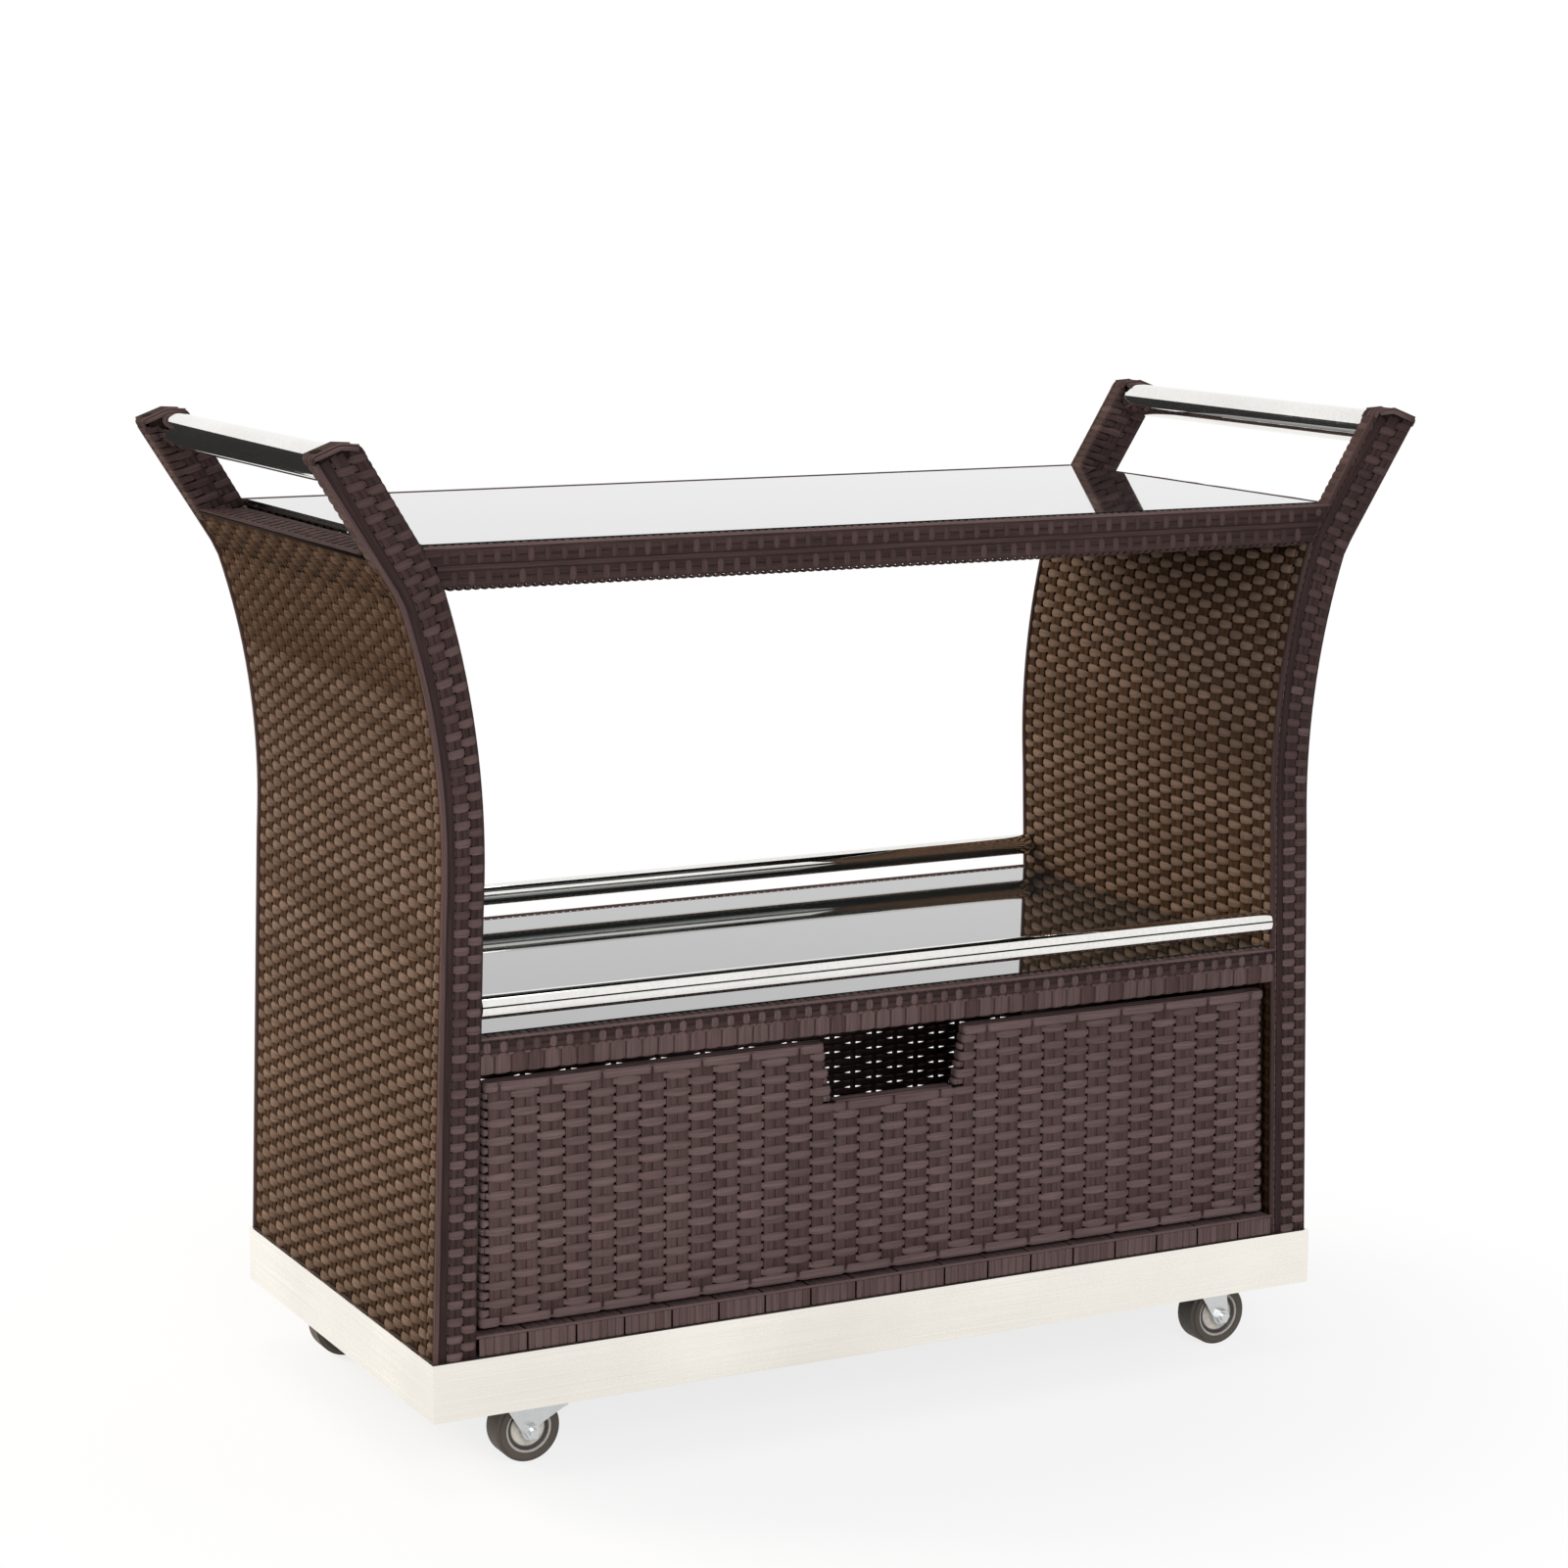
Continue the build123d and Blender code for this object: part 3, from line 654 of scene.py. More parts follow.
def make_wicker():
    """Brown resin strands with tints of their own and fine streaks along them."""
    material, shader = new_material("wicker", WICKER_LOOK)
    mark = add_node(shader, "Attribute", {}, attribute_name="strand").outputs["Vector"]
    tint = add_node(shader, "SeparateXYZ", {0: mark}).outputs["Z"]
    streaks = noise(stretched(mark, (22, 11, 61)), detail=4)
    patches = noise(object_place(shader), scale=4, detail=2)
    light = product(ranged(streaks, 0.74, 1.26), ranged(patches, 0.92, 1.08))
    painted(shader, colour_ramp(tint, WICKER_TINTS), light, ranged(streaks, 0.55, 0.72))
    bumped(shader, streaks, strength=0.35, distance=0.0003)
    return material


def make_shade_core():
    """Near-black inside of the wicker, behind its strands: partly the real frame and boards, and painted
    shade where the gaps show through.
    """
    material, shader = new_material("wicker_core_shade", WICKER_LOOK)
    grain = noise(object_place(shader), scale=160, detail=3)
    painted(shader, (0.016, 0.011, 0.009, 1), ranged(grain, 0.6, 1.4), ranged(grain, 0.75, 0.95))
    return material


def make_metal(name, colour, stretch, roughness, relief):
    """Metal with a grain along it."""
    material, shader = new_material(name, {"Metallic": 1})
    grain = noise(stretched(object_place(shader), stretch), detail=5)
    cloud = noise(object_place(shader), scale=7, detail=3)
    light = product(ranged(grain, 0.95, 1.05), ranged(cloud, 0.95, 1.05))
    painted(shader, colour, light, product(ranged(grain, *roughness), ranged(cloud, 0.85, 1.15)))
    bumped(shader, grain, relief, distance=0.0002)
    return material


def make_glass():
    """Dark tinted glass with faint smears in its polish."""
    material, shader = new_material("dark_glass", GLASS_LOOK)
    smears = noise(stretched(object_place(shader), (9, 15, 9)), detail=4)
    painted(shader, (0.016, 0.022, 0.023, 1), ranged(smears, 0.8, 1.2), ranged(smears, 0.015, 0.06))
    return material


def make_matt(name, colour, stretch, roughness, relief):
    """Paint, plastic or rubber with a fine grain."""
    material, shader = new_material(name, {})
    grain = noise(stretched(object_place(shader), stretch), detail=4)
    cloud = noise(object_place(shader), scale=20, detail=3)
    light = product(ranged(grain, 0.85, 1.15), ranged(cloud, 0.9, 1.1))
    painted(shader, colour, light, ranged(grain, *roughness))
    bumped(shader, grain, relief, distance=0.0004)
    return material


def make_wheel_core():
    """Wheel core with rings round its axle along Y."""
    material, shader = new_material("wheel_core", {})
    place = add_node(shader, "TexCoord", {}).outputs["Generated"]
    centred = add_node(place, "VectorMath", {0: place, 1: (0.5, 0.5, 0.5)}, operation="SUBTRACT").outputs[0]
    rings = colour_ramp(length_of(stretched(centred, (2, 0, 2))), WHEEL_RINGS)
    grain = noise(object_place(shader), scale=240, detail=4)
    painted(shader, rings, ranged(grain, 0.88, 1.12), ranged(grain, 0.35, 0.5))
    bumped(shader, grain, strength=0.1, distance=0.0004)
    return material


WICKER = make_wicker()
SHADE_CORE = make_shade_core()


def side_tint(edge, sign, row):
    """Tint and rise of a side's strand, the same on each piece; the tint lies in the warm half, as painted
    warm light.
    """
    chance = luck(edge.layer, sign + 1, row)
    tints = STRAND_TINTS
    # Outer strands darken upwards towards the overhang, as painted shade.
    if edge is OUTER:
        tints = faded(row, (LEG_ROWS, OVERHANG_SHADE_ROW), STRAND_TINTS, OVERHANG_SHADE_TINTS)
    # Inner rows in the drawer bay take the darkest tint, as painted shade.
    elif row < SHADED_BAY_ROWS:
        tints = (0, 0)
    # The warm half of the tints is painted warm light on the side faces.
    return WARM_LIT + strand_tint(chance, *tints), 1 - RISE_SPREAD * chance.random()


def on_edge(edge, sign, place, y, depth):
    """Path and normals at places of an edge, at a Y and a depth."""
    normal = edge.normal(place)
    flat = edge.at(place) - depth * normal
    return points(sign * flat[:, 0], y, flat[:, 1]), points(sign * normal[..., 0], 0, normal[..., 1])


def side_rows(piece, edge, sign, rows, low, high):
    """Strands along Y on one face of a side."""
    weave = SIDE_WEAVE
    y = spaced(low, high, STEP)
    dive = np.clip((np.abs(y) - SIDE_DIVE_FROM) / (SIDE_END - SIDE_DIVE_FROM), 0, 1) ** 2
    for row in rows:
        tint, rise = side_tint(edge, sign, row)
        phase = y / weave.pitch + row
        depth = weave.depth - rise * weave.lift(phase) + dive * SIDE_DIVE_DEPTH
        path, normal = on_edge(edge, sign, place_of(row + ROW_MIDDLE), y, depth[:, None])
        piece.strand(path, normal, weave.wide(phase), weave.half_thick, tint)


def side_stakes(piece, edge, sign, first_row, last_row, places):
    """Upright stakes of one face of a side."""
    weave = SIDE_WEAVE
    place = place_of(spaced(first_row, last_row, STAKE_ROW_STEP))
    # The side faces' stakes also take the warm half, as painted warm light.
    for middle in places:
        chance = luck(edge.layer, sign + 1, ALL_ROWS, int(middle + KEY_SHIFT))
        for shift in weave.strips:
            run = on_edge(edge, sign, place, middle + shift, weave.depth)
            # Stake tints are darker than the strands, as painted shade in the recesses.
            piece.strip(*run, weave.strip_half, WARM_LIT + strand_tint(chance, 0, STAKE_SHADE_TINT))


def side_face(piece, edge, sign, first_row, last_row, core_row):
    """One face of a side between its posts, with a dark sheet behind it up to a row, as painted shade."""
    half = piece.high[1]
    last = int(half // SIDE_WEAVE.pitch)
    side_rows(piece, edge, sign, range(first_row, last_row), piece.low[1], half)
    side_stakes(piece, edge, sign, first_row, last_row, SIDE_WEAVE.pitch * np.arange(-last, last + 1))
    place = place_of(spaced(first_row, core_row, CORE_ROW_STEP))
    piece.core(*on_edge(edge, sign, place, 0, CORE_DEPTH), half, CORE_HALF_THICK)


def make_skin(edge, side, rows):
    """Woven skin of one face of a side, between its posts."""
    piece = Piece(f"side_skin_{edge.name}_{side}")
    side_face(piece, edge, SIDES[side], 0, rows, rows)
    piece.finish()


def post_shape(row, full, loop):
    """Rise and width along a row of a post, with its recess and edges."""
    recess_end = POST_RECESS * full - ROW_START
    near, far = (share * full - ROW_START for share in POST_STAKES)
    side = full - ROW_START
    back = side + FRAME_DEEP
    stops = [recess_end, near, (near + far) / 2, far, side]
    stops += [back + side - stop for stop in stops[:0:-1]]
    turns = np.arange(len(stops)) / 2 + 0.5

    def shape(flat):
        length = lengths(flat)
        phase = np.interp(length, stops, turns) + row + 1
        wide = POST_WEAVE.wide(phase)
        recess = np.clip((recess_end - length) / POST_EDGE + 0.5, 0, 1)
        away = flat[:, 0] - full / 2
        if loop:
            away = np.abs(away)
        edge = np.clip((away - full / 2 + POST_EDGE) / POST_EDGE + 0.5, 0, 1)
        lift = POST_WEAVE.lift(phase) * (1 - recess) - RECESS_DROP * recess
        return lift * (1 - edge), wide + (POST_FULL_WIDE - wide) * np.maximum(recess, edge)

    return shape


def post_frame(row, sign, facing):
    """Origin, axes to the right and inwards, and width of a post's section at a row."""
    place = place_of(row)
    left, right = [edge.at(place) * (sign, 1) for edge in (INNER, OUTER)][::sign]
    full = norm(right - left)
    across = (right - left) / full
    axes = np.array([(across[0], 0, across[1]), (0, -facing, 0)])
    return np.array([left[0], facing * FRAME_FACE, left[1]]), axes, full


def post_rows(piece, sign, facing):
    """Rows across a post, which go right round it on the wing."""
    near = POST_WEAVE.depth
    far = FRAME_DEEP - near
    for row in range(ALL_ROWS - 1):
        middle = row + ROW_MIDDLE
        origin, axes, full = post_frame(middle, sign, facing)
        below, above = (post_frame(middle + shift, sign, facing)[0] for shift in (-ROW_NUDGE, ROW_NUDGE))
        right = full - POST_EDGE_DEPTH
        corners = [(ROW_START, near), (right, near)]
        loop = row >= LOOP_ROW
        if loop:
            corners += [(right, far), (POST_EDGE_DEPTH, far), (POST_EDGE_DEPTH, ROW_START)]
        else:
            corners += [(right, WRAP_RETURN)]
        tint = frame_tint(luck(POST_LAYER, sign + 1, facing + 1, row), origin[2])
        shape = post_shape(row, full, loop)
        piece.wrap(corners, origin, axes, shape, POST_WEAVE.half_thick, tint, WRAP_STEP, above - below)


def up_post(sign, facing, share, shift, inward, first_row, last_row):
    """Path up a post, at a share of its width plus a shift, and its widths."""
    path = []
    widths = []
    for row in spaced(first_row, last_row, STAKE_ROW_STEP):
        origin, axes, full = post_frame(row, sign, facing)
        path.append(origin + np.array([share * full + shift, inward]) @ axes)
        widths.append(full)
    return np.array(path), np.array(widths)


def post_stakes(piece, sign, facing):
    """Stakes on a post's front and its wing's back."""
    depth = POST_WEAVE.depth
    chance = luck(POST_LAYER, sign + 1, facing + 1, ALL_ROWS)
    faces = ((depth, 0, facing), (FRAME_DEEP - depth, LOOP_ROW, -facing))
    for share in POST_STAKES:
        for shift in POST_WEAVE.strips:
            for inward, first_row, outwards in faces:
                path, _ = up_post(sign, facing, share, shift, inward, first_row, STAKE_TOP)
                # Post stakes take dark tints, as painted shade in the recesses.
                tint = strand_tint(chance, 0, FRAME_STAKE_SHADE_TINT)
                piece.strip(path, (0, outwards, 0), POST_WEAVE.strip_half, tint)


def post_corner(piece, sign, facing):
    """Round strand along a post's corner, and the groove beside it."""
    radius = CORNER_RADIUS
    outwards = np.array([0, facing, 0])
    inward = radius + (GROOVE_DROP if sign > 0 else 0)
    # Right posts' corner strand is darker than the left posts', as painted shade on the inner corner.
    tint = FRAME_STAKE_SHADE_TINT if sign > 0 else min(FRAME_TINTS)
    path, _ = up_post(sign, facing, 0, radius, inward, 0, CORNER_TOP)
    piece.strand(path, outwards + CORNER_LEAN, radius, radius, tint)
    path, full = up_post(sign, facing, POST_RECESS / 2, radius, GROOVE_DEPTH, 0, CORNER_TOP)
    # The strip in the groove takes the darkest tint, as painted shade in the groove.
    piece.strip(path, outwards, POST_RECESS * full / 2 - radius, 0)


def post_core(piece, sign, facing):
    """Dark bar inside a post."""
    path, full = up_post(sign, facing, 0.5, 0, FRAME_DEEP / 2, 0, CORE_TOP)
    piece.core(path, (0, facing, 0), full / 2 - POST_CORE_INSET, FRAME_DEEP / 2 - POST_CORE_INSET)


def wing_cap(piece, sign, facing):
    """Flat strips over the top of a wing and along its faces."""
    outline = np.array([OUTER_OUTLINE[-1], WING_CROWN, INNER_OUTLINE[-1]], float)
    run = unit(OUTER.kink - OUTER.tip)
    towards = unit(outline.mean(axis=0) + 2 * CAP_FLAP * run - outline)
    inset = outline + CAP_INSET * towards
    corners = [inset[0] + CAP_FLAP * run, *inset, inset[-1] + CAP_FLAP * run]
    axes = np.array([(sign, 0, 0), (0, 0, 1)])
    half = FRAME_DEEP / CAP_STRIPS / 2

    def set_back(depth):
        return 0, facing * (FRAME_FACE - depth), 0

    def shape(flat):
        return np.zeros(len(flat)), half

    for number in range(CAP_STRIPS):
        # Cap strips take dark stake tints, as painted shade on the wing tops.
        tint = strand_tint(luck(CAP_LAYER, sign + 1, facing + 1, number), 0, STAKE_SHADE_TINT)
        piece.wrap(corners, set_back((2 * number + 1) * half), axes, shape, TOP_HALF_THICK, tint)
    border = (outline + (CAP_BORDER_HALF + CAP_BORDER_DEPTH) * towards) @ axes
    for depth, outwards in ((CAP_BORDER_DEPTH, facing), (FRAME_DEEP - CAP_BORDER_DEPTH, -facing)):
        piece.strip(border + set_back(depth), (0, outwards, 0), CAP_BORDER_HALF, STRAND_TINT)
    below = (outline + (CAP_INSET + TOP_HALF_THICK + CAP_CORE_HALF) * towards) @ axes
    deep = FRAME_DEEP / 2
    piece.core(below + set_back(deep), (0, facing, 0), CAP_CORE_HALF, deep - CAP_CORE_INSET)


def make_post(side, end):
    """Woven post with its wing."""
    piece = Piece(f"post_{end}_{side}")
    sign = SIDES[side]
    facing = ENDS[end]
    low, high = sorted((facing * FRAME_INSIDE, facing * SIDE_END))
    stake = facing * SIDE_WEAVE.pitch * math.ceil(FRAME_INSIDE / SIDE_WEAVE.pitch)
    for edge in (OUTER, INNER):
        side_rows(piece, edge, sign, range(LOOP_ROW), low, high)
        side_stakes(piece, edge, sign, 0, LOOP_ROW, [stake])
    for add in (post_rows, post_stakes, post_corner, post_core, wing_cap):
        add(piece, sign, facing)
    piece.finish()


def bar_strips(piece, sign, inner, half):
    """Flat strips along the top of a cross bar, a little uneven."""
    y = spaced(piece.low[1], piece.high[1], BAR_STEP)
    for number in range(BAR_STRIPS):
        chance = luck(BAR_LAYER, sign + 1, number)
        depth = BAR_DEPTH if 0 < number < BAR_STRIPS - 1 else BAR_EDGE_DEPTH
        height = piece.high[2] - depth + BAR_WAVE * chance.standard_normal(len(y))
        path = points(sign * (inner + (2 * number + 1) * half), y, height)
        # Bar strips take dark stake tints, as painted shade on the bar's top.
        tint = strand_tint(chance, 0, FRAME_STAKE_SHADE_TINT)
        piece.strand(path, UP, half + BAR_OVERLAP, TOP_HALF_THICK, tint)


def bar_cross_strands(piece, sign, inner, half):
    """Strands across a cross bar's strips, tucked under the outer ones."""
    long = piece.high[1] - piece.low[1]
    count = round(long / CROSS_PITCH)
    run = spaced(half, (2 * BAR_STRIPS - 1) * half, CROSS_STEP)
    for number in range(count):
        y = piece.low[1] + (number + 0.5) * long / count
        rise = CROSS_RELIEF * np.cos(np.pi * (run / half / 2 - 0.5 + number))
        rise[[0, -1]] = -CROSS_RELIEF
        path = points(sign * (inner + run), y, piece.high[2] - CROSS_DEPTH + rise)
        # The bar's cross strands take the darkest frame tints, as painted shade on the bar's top.
        tint = strand_tint(luck(BAR_LAYER, sign + 1, BAR_STRIPS, number), *WING_SHADE_TINTS)
        piece.strand(path, UP, CROSS_HALF_WIDE, CROSS_HALF_THICK, tint)


def make_cross_bar(side):
    """Bar over a side, its faces woven on from the skins."""
    piece = Piece(f"cross_bar_{side}")
    sign = SIDES[side]
    _, half, top = piece.high
    for edge, first, count in ((OUTER, KINK_ROW, BAR_OUTER_ROWS), (INNER, INNER_ROWS, BAR_INNER_ROWS)):
        side_face(piece, edge, sign, first, first + count, first + count - ROW_MIDDLE)
    outer = OUTER.x_at(top) - BAR_INSET
    inner = INNER.x_at(top) + BAR_INSET
    for add in (bar_strips, bar_cross_strands):
        add(piece, sign, inner, (outer - inner) / BAR_STRIPS / 2)
    height = top - BAR_DEPTH - TOP_HALF_THICK - CORE_HALF_THICK
    path = points(sign * (outer + inner) / 2, (piece.low[1], half), height)
    piece.core(path, UP, (outer - inner) / 2, CORE_HALF_THICK)
    piece.finish()


def on_front(flat, depth, fade):
    """1 on the front face, fading to 0 at a depth."""
    return np.clip((depth - flat[:, 1]) / fade, 0, 1)


def seam_gap(number):
    """Gap beside a flat wrap, at every few wraps."""
    return 0 if number % SEAM_WRAPS else SEAM_GAP


def rail_shape(weave, stakes, number):
    """Rise and width along a wrap of a rail, woven on its front face."""

    def shape(flat):
        if not stakes:
            return np.zeros(len(flat)), FLAT_HALF_WIDE - seam_gap(number) / 2
        phase = np.clip((flat[:, 0] - stakes[0]) / weave.pitch, -0.5, len(stakes) - 0.5) + number
        lift = on_front(flat, RAIL_FADE_END, RAIL_FADE) * weave.lift(phase)
        wide = weave.wide(phase)
        if len(stakes) == 1:
            below = np.clip((flat[:, 0] - stakes[0] - weave.pitch / 2) / FOOT_RUN, 0, 1)
            if number % 2:
                lift = lift - FOOT_SINK * below
            else:
                wide = wide + (FOOT_HALF_WIDE - wide) * below
        return lift, wide

    return shape


def rail_wraps(piece, low, high, facing, weave, stakes):
    """Strands round a rail, cut short where a post leans over them."""
    tall = high - low
    near = weave.depth
    far = FRAME_DEEP - near
    half = INNER.x_at(high)
    count = round(2 * half / RAIL_PITCH)
    axes = np.array([(0, 0, -1), (0, -facing, 0)])
    thick = weave.half_thick if stakes else FLAT_HALF_THICK
    for number in range(count):
        x = ((2 * number + 1) / count - 1) * half
        foot = tall - near - max(INNER.z_at(abs(x) + weave.half_wide) - low, 0)
        if foot < GLASS_DROP:
            continue
        if stakes:
            corners = [(near, GLASS_STEP), (near, near), (foot, near), (foot, far), (GLASS_DROP, far)]
        else:
            x += seam_gap(number) / 2
            end = tall - FLAT_INSET
            corners = [(end, far), (near, far), (near, near), (end, near)]
        origin = np.array([x, facing * FRAME_FACE, high])
        tint = frame_tint(luck(RAIL_LAYER, int(high), facing + 1, number), high)
        piece.wrap(corners, origin, axes, rail_shape(weave, stakes, number), thick, tint, WRAP_STEP)


def rail_strands(piece, high, facing, weave, stakes):
    """Strips along a rail, under its wraps, and the bead on its upper edge."""
    outwards = np.array([0, facing, 0])
    chance = luck(RAIL_LAYER, int(high), facing + 1)

    def run(drop, depth, join, step):
        half = INNER.x_at(high - drop) + join
        return points(spaced(-half, half, step), facing * (FRAME_FACE - depth), high - drop)

    # Strips and binders take tints darker than the wraps, as painted shade in the recesses.
    for drop in stakes:
        for shift in weave.strips:
            strip = run(drop + shift, weave.depth, RAIL_JOIN, RAIL_STEP)
            piece.strip(strip, outwards, weave.strip_half, strand_tint(chance, 0, FRAME_STAKE_SHADE_TINT))
    for upper, lower in zip(stakes, stakes[1:]):
        binder = run((upper + lower) / 2, weave.depth - BINDER_LIFT, 0, RAIL_STEP)
        piece.strip(binder, outwards, BINDER_HALF_WIDE, FRAME_STAKE_SHADE_TINT)
    bead = run(BEAD_RADIUS, BEAD_RADIUS, RAIL_JOIN / 2, BEAD_STEP)
    # The bead takes the lightest frame tint, as a painted highlight along the rail's upper edge.
    piece.strand(bead, outwards + UP, BEAD_RADIUS, BEAD_RADIUS, max(FRAME_TINTS))


def rail_core(piece, facing, half, low, high, near, far):
    """Dark bar inside a rail, between two heights and two depths."""
    path = points((-half, half), facing * (FRAME_FACE - (near + far) / 2), (low + high) / 2)
    piece.core(path, (0, facing, 0), (high - low) / 2, (far - near) / 2)


def make_rail(name, end, weave, stakes):
    """Rail wrapped with strands that are woven over stakes along it."""
    piece = Piece(f"{name}_{end}")
    facing = ENDS[end]
    low = piece.low[2]
    high = piece.high[2]
    rail_wraps(piece, low, high, facing, weave, stakes)
    rail_strands(piece, high, facing, weave, stakes)
    half = INNER.x_at(high) - CORE_INSET
    top = high - (GLASS_DROP if stakes else CORE_INSET)
    rail_core(piece, facing, half, low + CORE_INSET, top, CORE_INSET, FRAME_DEEP - CORE_INSET)
    if stakes:
        lip = LIP_CORE_INSET
        rail_core(piece, facing, half, top, high - lip, lip, GLASS_STEP - LIP_CORE_GAP)
    piece.finish()


def drawer_shape(row, left, border):
    """Rise and width along a drawer row, as a border row within a half width."""
    weave = DRAWER_WEAVE

    def shape(flat):
        x = left + flat[:, 0]
        phase = x / weave.pitch + row
        span = 2 * weave.pitch
        away = np.abs((x / span + 0.5) % 1 - 0.5) * span
        floats = BORDER_LIFT - BORDER_DROP * np.exp(-((away / BORDER_DIP) ** 2))
        bordered = np.abs(x) < border
        lift = np.where(bordered, floats, weave.lift(phase))
        wide = np.where(bordered, BORDER_HALF_WIDE, weave.wide(phase))
        return on_front(flat, DRAWER_FADE_END, DRAWER_FADE) * lift, wide

    return shape


def drawer_row(piece, row, left, right, height, border):
    """One row right round the drawer front."""
    near = DRAWER_WEAVE.depth
    far = DRAWER_DEEP - near
    end = right - left - near
    seam = ((right - left) / 2, far)
    corners = [seam, (near, far), (near, near), (end, near), (end, far), seam]
    axes = np.array([(1, 0, 0), (0, 1, 0)])
    origin = np.array([left, DRAWER_FACE, height])
    tint = strand_tint(luck(DRAWER_LAYER, row, int(left + KEY_SHIFT)))
    step = BORDER_STEP if border else DRAWER_STEP
    piece.wrap(corners, origin, axes, drawer_shape(row, left, border), DRAWER_WEAVE.half_thick, tint, step)


def drawer_rows(piece):
    """Rows of the drawer front, parted by its notch."""
    pitch = (DRAWER_TOP - DRAWER_LOW) / DRAWER_ROWS
    for row in range(DRAWER_ROWS):
        height = DRAWER_LOW + (row + ROW_MIDDLE) * pitch
        half = np.interp(height, (DRAWER_LOW, DRAWER_TOP), (DRAWER_HALF_LOW, DRAWER_HALF))
        gap = np.interp(height, (NOTCH_FLOOR, DRAWER_TOP), (NOTCH_HALF_LOW, NOTCH_HALF))
        border = 0
        if row in (0, DRAWER_ROWS - 1):
            border = 2 * DRAWER_HALF_LOW
        elif row == NOTCH_ROW - 1:
            border = NOTCH_HALF_LOW
        runs = ((-half, half),) if row < NOTCH_ROW else ((-half, -gap), (gap, half))
        for left, right in runs:
            drawer_row(piece, row, left, right, height, border)


def drawer_stakes(piece):
    """Upright stakes of the drawer front."""
    weave = DRAWER_WEAVE
    last = int(DRAWER_HALF // weave.pitch)
    chance = luck(DRAWER_LAYER, DRAWER_ROWS)
    for number in range(-last, last + 1):
        for shift in weave.strips:
            x = number * weave.pitch + shift
            top = DRAWER_TOP if abs(x) > NOTCH_HALF else NOTCH_FLOOR
            height = spaced(DRAWER_LOW + DRAWER_INSET, top - DRAWER_INSET, UPRIGHT_STEP)
            # Drawer stakes take darker tints, as painted shade in the recesses.
            tint = strand_tint(chance, *DRAWER_STAKE_SHADE_TINTS)
            piece.strip(points(x, DRAWER_FACE + weave.depth, height), (0, -1, 0), weave.strip_half, tint)


def drawer_edges(piece):
    """Flat strands on the drawer front's upper edges and in its notch."""
    runs = [(*shoulder, DRAWER_TOP) for shoulder in SHOULDERS]
    runs.append((-NOTCH_HALF_LOW, NOTCH_HALF_LOW, NOTCH_FLOOR))
    half = DRAWER_DEEP / 4 - EDGE_GAP
    for left, right, top in runs:
        x = spaced(left + EDGE_INSET, right - EDGE_INSET, EDGE_STEP)
        for share in EDGE_SHARES:
            path = points(x, DRAWER_FACE + share * DRAWER_DEEP, top - TOP_HALF_THICK)
            piece.strand(path, UP, half, TOP_HALF_THICK, STRAND_TINT)


def drawer_core(piece):
    """Dark boards inside the drawer front, below and beside its notch."""
    zones = [(-DRAWER_HALF, DRAWER_HALF, DRAWER_LOW, NOTCH_FLOOR)]
    zones += [(*shoulder, NOTCH_FLOOR, DRAWER_TOP) for shoulder in SHOULDERS]
    for left, right, low, top in zones:
        size = ((top - low) / 2 - DRAWER_INSET, DRAWER_DEEP / 2 - CORE_INSET)
        y = (DRAWER_FACE + DRAWER_BACK) / 2
        piece.core(points((left + CORE_INSET, right - CORE_INSET), y, (low + top) / 2), (0, -1, 0), *size)


def make_drawer_front():
    """Woven drawer front."""
    piece = Piece("drawer_front")
    for add in (drawer_rows, drawer_stakes, drawer_edges, drawer_core):
        add(piece)
    piece.finish("drawer")


def make_back_panel():
    """Open weave at the rear of the drawer bay."""
    piece = Piece("back_panel")
    _, middle, _ = (piece.low + piece.high) / 2
    low = piece.low[2]
    high = piece.high[2]
    outwards = (0, 1, 0)
    count = round((high - low) / BACK_ROW_PITCH)
    for row in range(count):
        height = low + (row + ROW_MIDDLE) * ((high - low) / count)
        half = INNER.x_at(height)
        x = spaced(-half, half, STEP)
        wave = np.cos(np.pi * (x / BACK_STAKE_PITCH + row))
        path = points(x, middle + BACK_LIFT * wave, height)
        wide = BACK_HALF_WIDE + BACK_WIDEN * (1 - wave**2)
        piece.strand(path, outwards, wide, BACK_HALF_THICK, strand_tint(luck(BACK_LAYER, row)))
    last = int(INNER.x_at(high) // BACK_STAKE_PITCH)
    for number in range(-last, last + 1):
        path = points(number * BACK_STAKE_PITCH, middle, spaced(low, high, UPRIGHT_STEP))
        tint = strand_tint(luck(BACK_LAYER, count + number + last))
        piece.strip(path, outwards, BACK_STAKE_HALF, tint)
    piece.finish()


def make_wicker_pieces():
    """Every woven piece of the trolley."""
    for side in SIDES:
        make_skin(OUTER, side, KINK_ROW)
        make_skin(INNER, side, INNER_ROWS)
        make_cross_bar(side)
        for end in ENDS:
            make_post(side, end)
    for end in ENDS:
        make_rail("top_rail", end, TOP_WEAVE, TOP_STAKES)
        make_rail("shelf_rail", end, SHELF_WEAVE, SHELF_STAKES)
        make_rail("bottom_rail", end, SHELF_WEAVE, ())
    make_drawer_front()
    make_back_panel()


def dress(material, *beginnings):
    """Give a material to nodes by their names' beginnings."""
    for name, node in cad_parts.items():
        if not name.startswith(beginnings):
            continue
        if not node.material_slots:
            node.data.materials.append(material)
        for slot in node.material_slots:
            slot.material = material


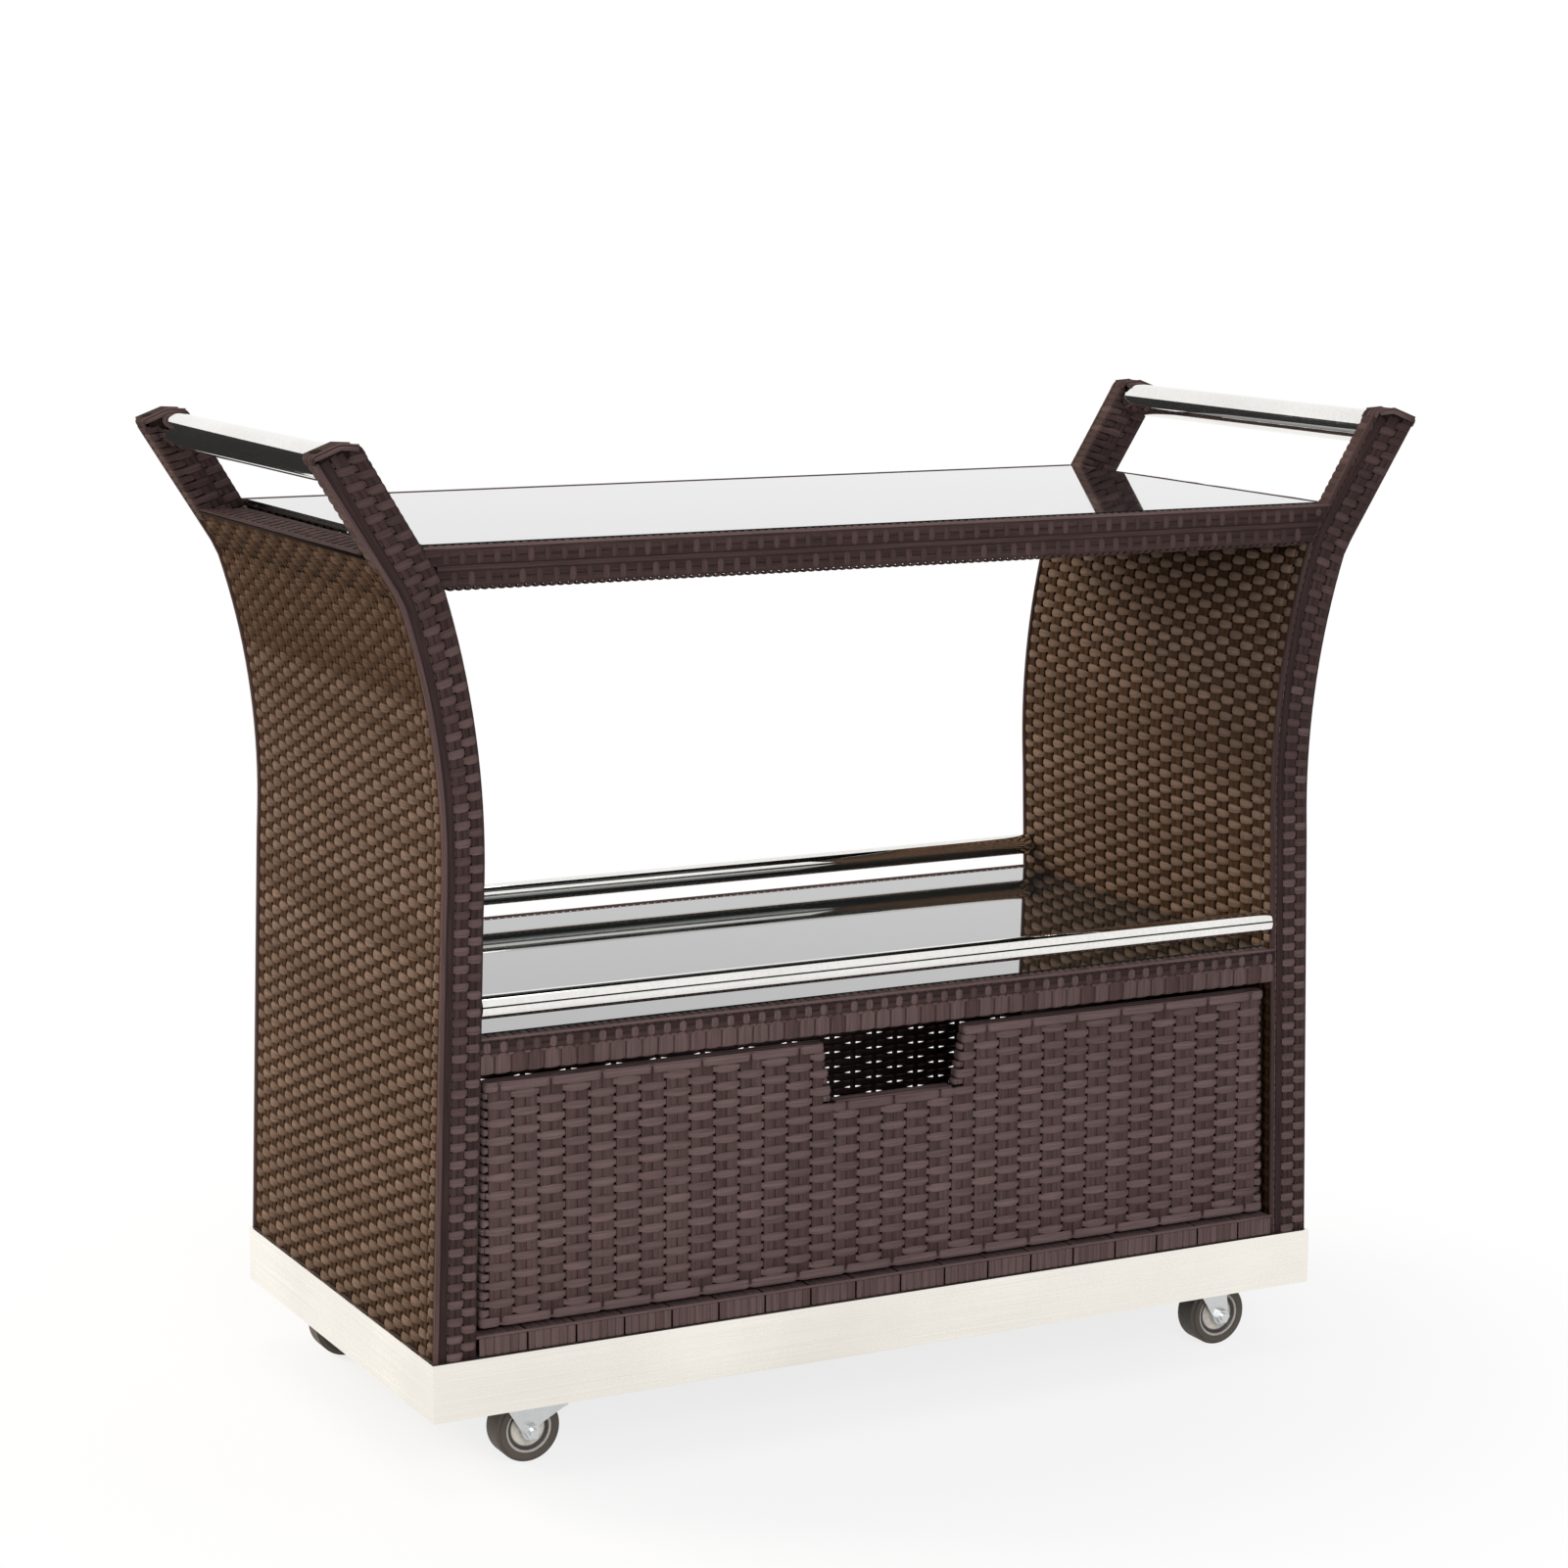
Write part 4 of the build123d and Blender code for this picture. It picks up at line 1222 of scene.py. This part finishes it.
def dress_nodes():
    """Nodes that show as they are: colour, stretch of the grain, roughness and relief."""
    dress(make_metal("plinth_steel", (0.9, 0.865, 0.795, 1), (4, 4, 900), (0.2, 0.34), 0.08), "plinth_")
    tube = make_metal("polished_steel", (0.84, 0.83, 0.80, 1), (260, 260, 260), (0.025, 0.06), 0.002)
    dress(tube, "handle_", "guard_rail_")
    zinc = make_metal("zinc_steel", (0.63, 0.64, 0.64, 1), (120, 120, 120), (0.22, 0.42), 0.1)
    dress(zinc, "fork_", "axle_", "caster_", "king_", "brake_", "slide_channels", "slide_bars")
    dress(make_glass(), "top_glass", "shelf_glass")
    board = make_matt("dark_board", (0.045, 0.034, 0.03, 1), (8, 90, 90), (0.5, 0.7), 0.2)
    dress(board, "base_board", "drawer_side", "drawer_back", "drawer_bottom", "slide_battens")
    coat = make_matt("frame_aluminium", (0.12, 0.09, 0.08, 1), (600, 600, 600), (0.45, 0.65), 0.15)
    dress(coat, "side_frames")
    dress(make_matt("pad_rubber", (0.03, 0.03, 0.03, 1), (500, 500, 500), (0.7, 0.9), 0.3), "glass_pads")
    dress(make_wheel_core(), "wheel_")
    dress(make_matt("tyre_rubber", (0.08, 0.064, 0.052, 1), (420, 420, 420), (0.55, 0.8), 0.3), "tyre_")


def seen_directly(mate):
    """1 for rays from the camera, gloss and glass, and 0 for light on matt surfaces."""
    path = add_node(mate, "LightPath", {})
    found = path.outputs["Is Camera Ray"]
    for name in ("Is Glossy Ray", "Is Transmission Ray"):
        found = add_node(mate, "Math", {0: found, 1: path.outputs[name]}, operation="MAXIMUM").outputs[0]
    return found


def mixed(share, first, second, target):
    """Send two mixed shaders to an output."""
    mix = add_node(share, "MixShader", {0: share, 1: first.outputs[0], 2: second.outputs[0]})
    feed(share.id_data.nodes[target].inputs["Surface"], mix.outputs[0])


def make_world():
    """White surroundings that are seen, and a softer light on the object."""
    world = bpy.data.worlds.new("studio")
    world.use_nodes = True
    bpy.context.scene.world = world
    ambient = world.node_tree.nodes["Background"]
    feed(ambient.inputs["Color"], AMBIENT_COLOUR)
    feed(ambient.inputs["Strength"], AMBIENT)
    white = add_node(ambient, "Background", {"Color": WHITE})
    mixed(seen_directly(ambient), ambient, white, "World Output")


def make_plane(name, corners, material):
    """Flat plane with four corners."""
    mesh = bpy.data.meshes.new(name)
    mesh.from_pydata(corners, [], [(0, 1, 2, 3)])
    mesh.materials.append(material)
    return new_object(name, mesh)


def make_floor():
    """Pale floor with a shadow near the object, and white further out."""
    material, shader = new_material("floor", FLOOR_LOOK)
    away = length_of(object_place(shader))
    inputs = {"Value": away, "From Min": FADE_START, "From Max": FADE_END, "To Min": FLOOR_WHITE}
    fade = add_node(shader, "MapRange", inputs, interpolation_type="SMOOTHSTEP").outputs["Result"]
    white = add_node(shader, "Emission", {})
    mixed(product(fade, seen_directly(shader)), shader, white, "Material Output")
    half = FLOOR_HALF
    corners = points((-half, half, half, -half), (-half, -half, half, half), 0)
    floor = make_plane("floor", corners, material)


def make_card(name, left, right, low, high, y):
    """Dark upright card that only reflections show."""
    material = make_matt(name, (0.008, 0.008, 0.008, 1), (5, 5, 5), (0.8, 0.9), 0.1)
    corners = points((left, right, right, left), y, (low, low, high, high))
    card = make_plane(name, corners, material)
    for kind in ("camera", "diffuse", "transmission", "shadow"):
        setattr(card, f"visible_{kind}", False)


def make_lamp(name, place, size, power, colour):
    """Soft lamp turned towards the object."""
    light = bpy.data.lights.new(name, "AREA")
    light.shape = "SQUARE"
    light.size = size
    light.energy = power
    light.color = colour
    lamp = new_object(name, light)
    lamp.location = place
    lamp.rotation_euler = (Vector(LAMP_AIM) - Vector(place)).to_track_quat("-Z", "Y").to_euler()


def make_camera():
    """Camera of the photograph."""
    view = bpy.data.cameras.new("camera")
    view.sensor_width = SENSOR
    view.lens = SENSOR * FOCAL_PIXELS / PICTURE_PIXELS
    camera = new_object("camera", view)
    turn = Matrix.Rotation(-CAMERA_YAW, 4, "Z") @ Matrix.Rotation(math.pi / 2 - CAMERA_PITCH, 4, "X")
    roll = Matrix.Rotation(-CAMERA_ROLL, 4, "Z")
    camera.matrix_world = Matrix.Translation(CAMERA_PLACE) @ turn @ roll
    bpy.context.scene.camera = camera


make_wicker_pieces()
dress_nodes()
make_world()
make_floor()
make_card("rear_card", left=-2.7, right=-0.35, low=0.1, high=1.45, y=2.0)
make_card("front_card", left=0.3, right=5.5, low=0.0, high=1.4, y=-5.2)
make_lamp("key", (-3.2, 3.0, 2.1), size=2.0, power=235, colour=(1.0, 0.89, 0.76))
make_lamp("fill", (-0.8, -4.0, 2.0), size=2.4, power=100, colour=(0.96, 0.97, 1.0))
make_lamp("top", (0, 0.4, 3.8), size=2.4, power=35, colour=(1.0, 0.99, 0.97))
make_camera()
bpy.context.scene.view_settings.view_transform = "Standard"
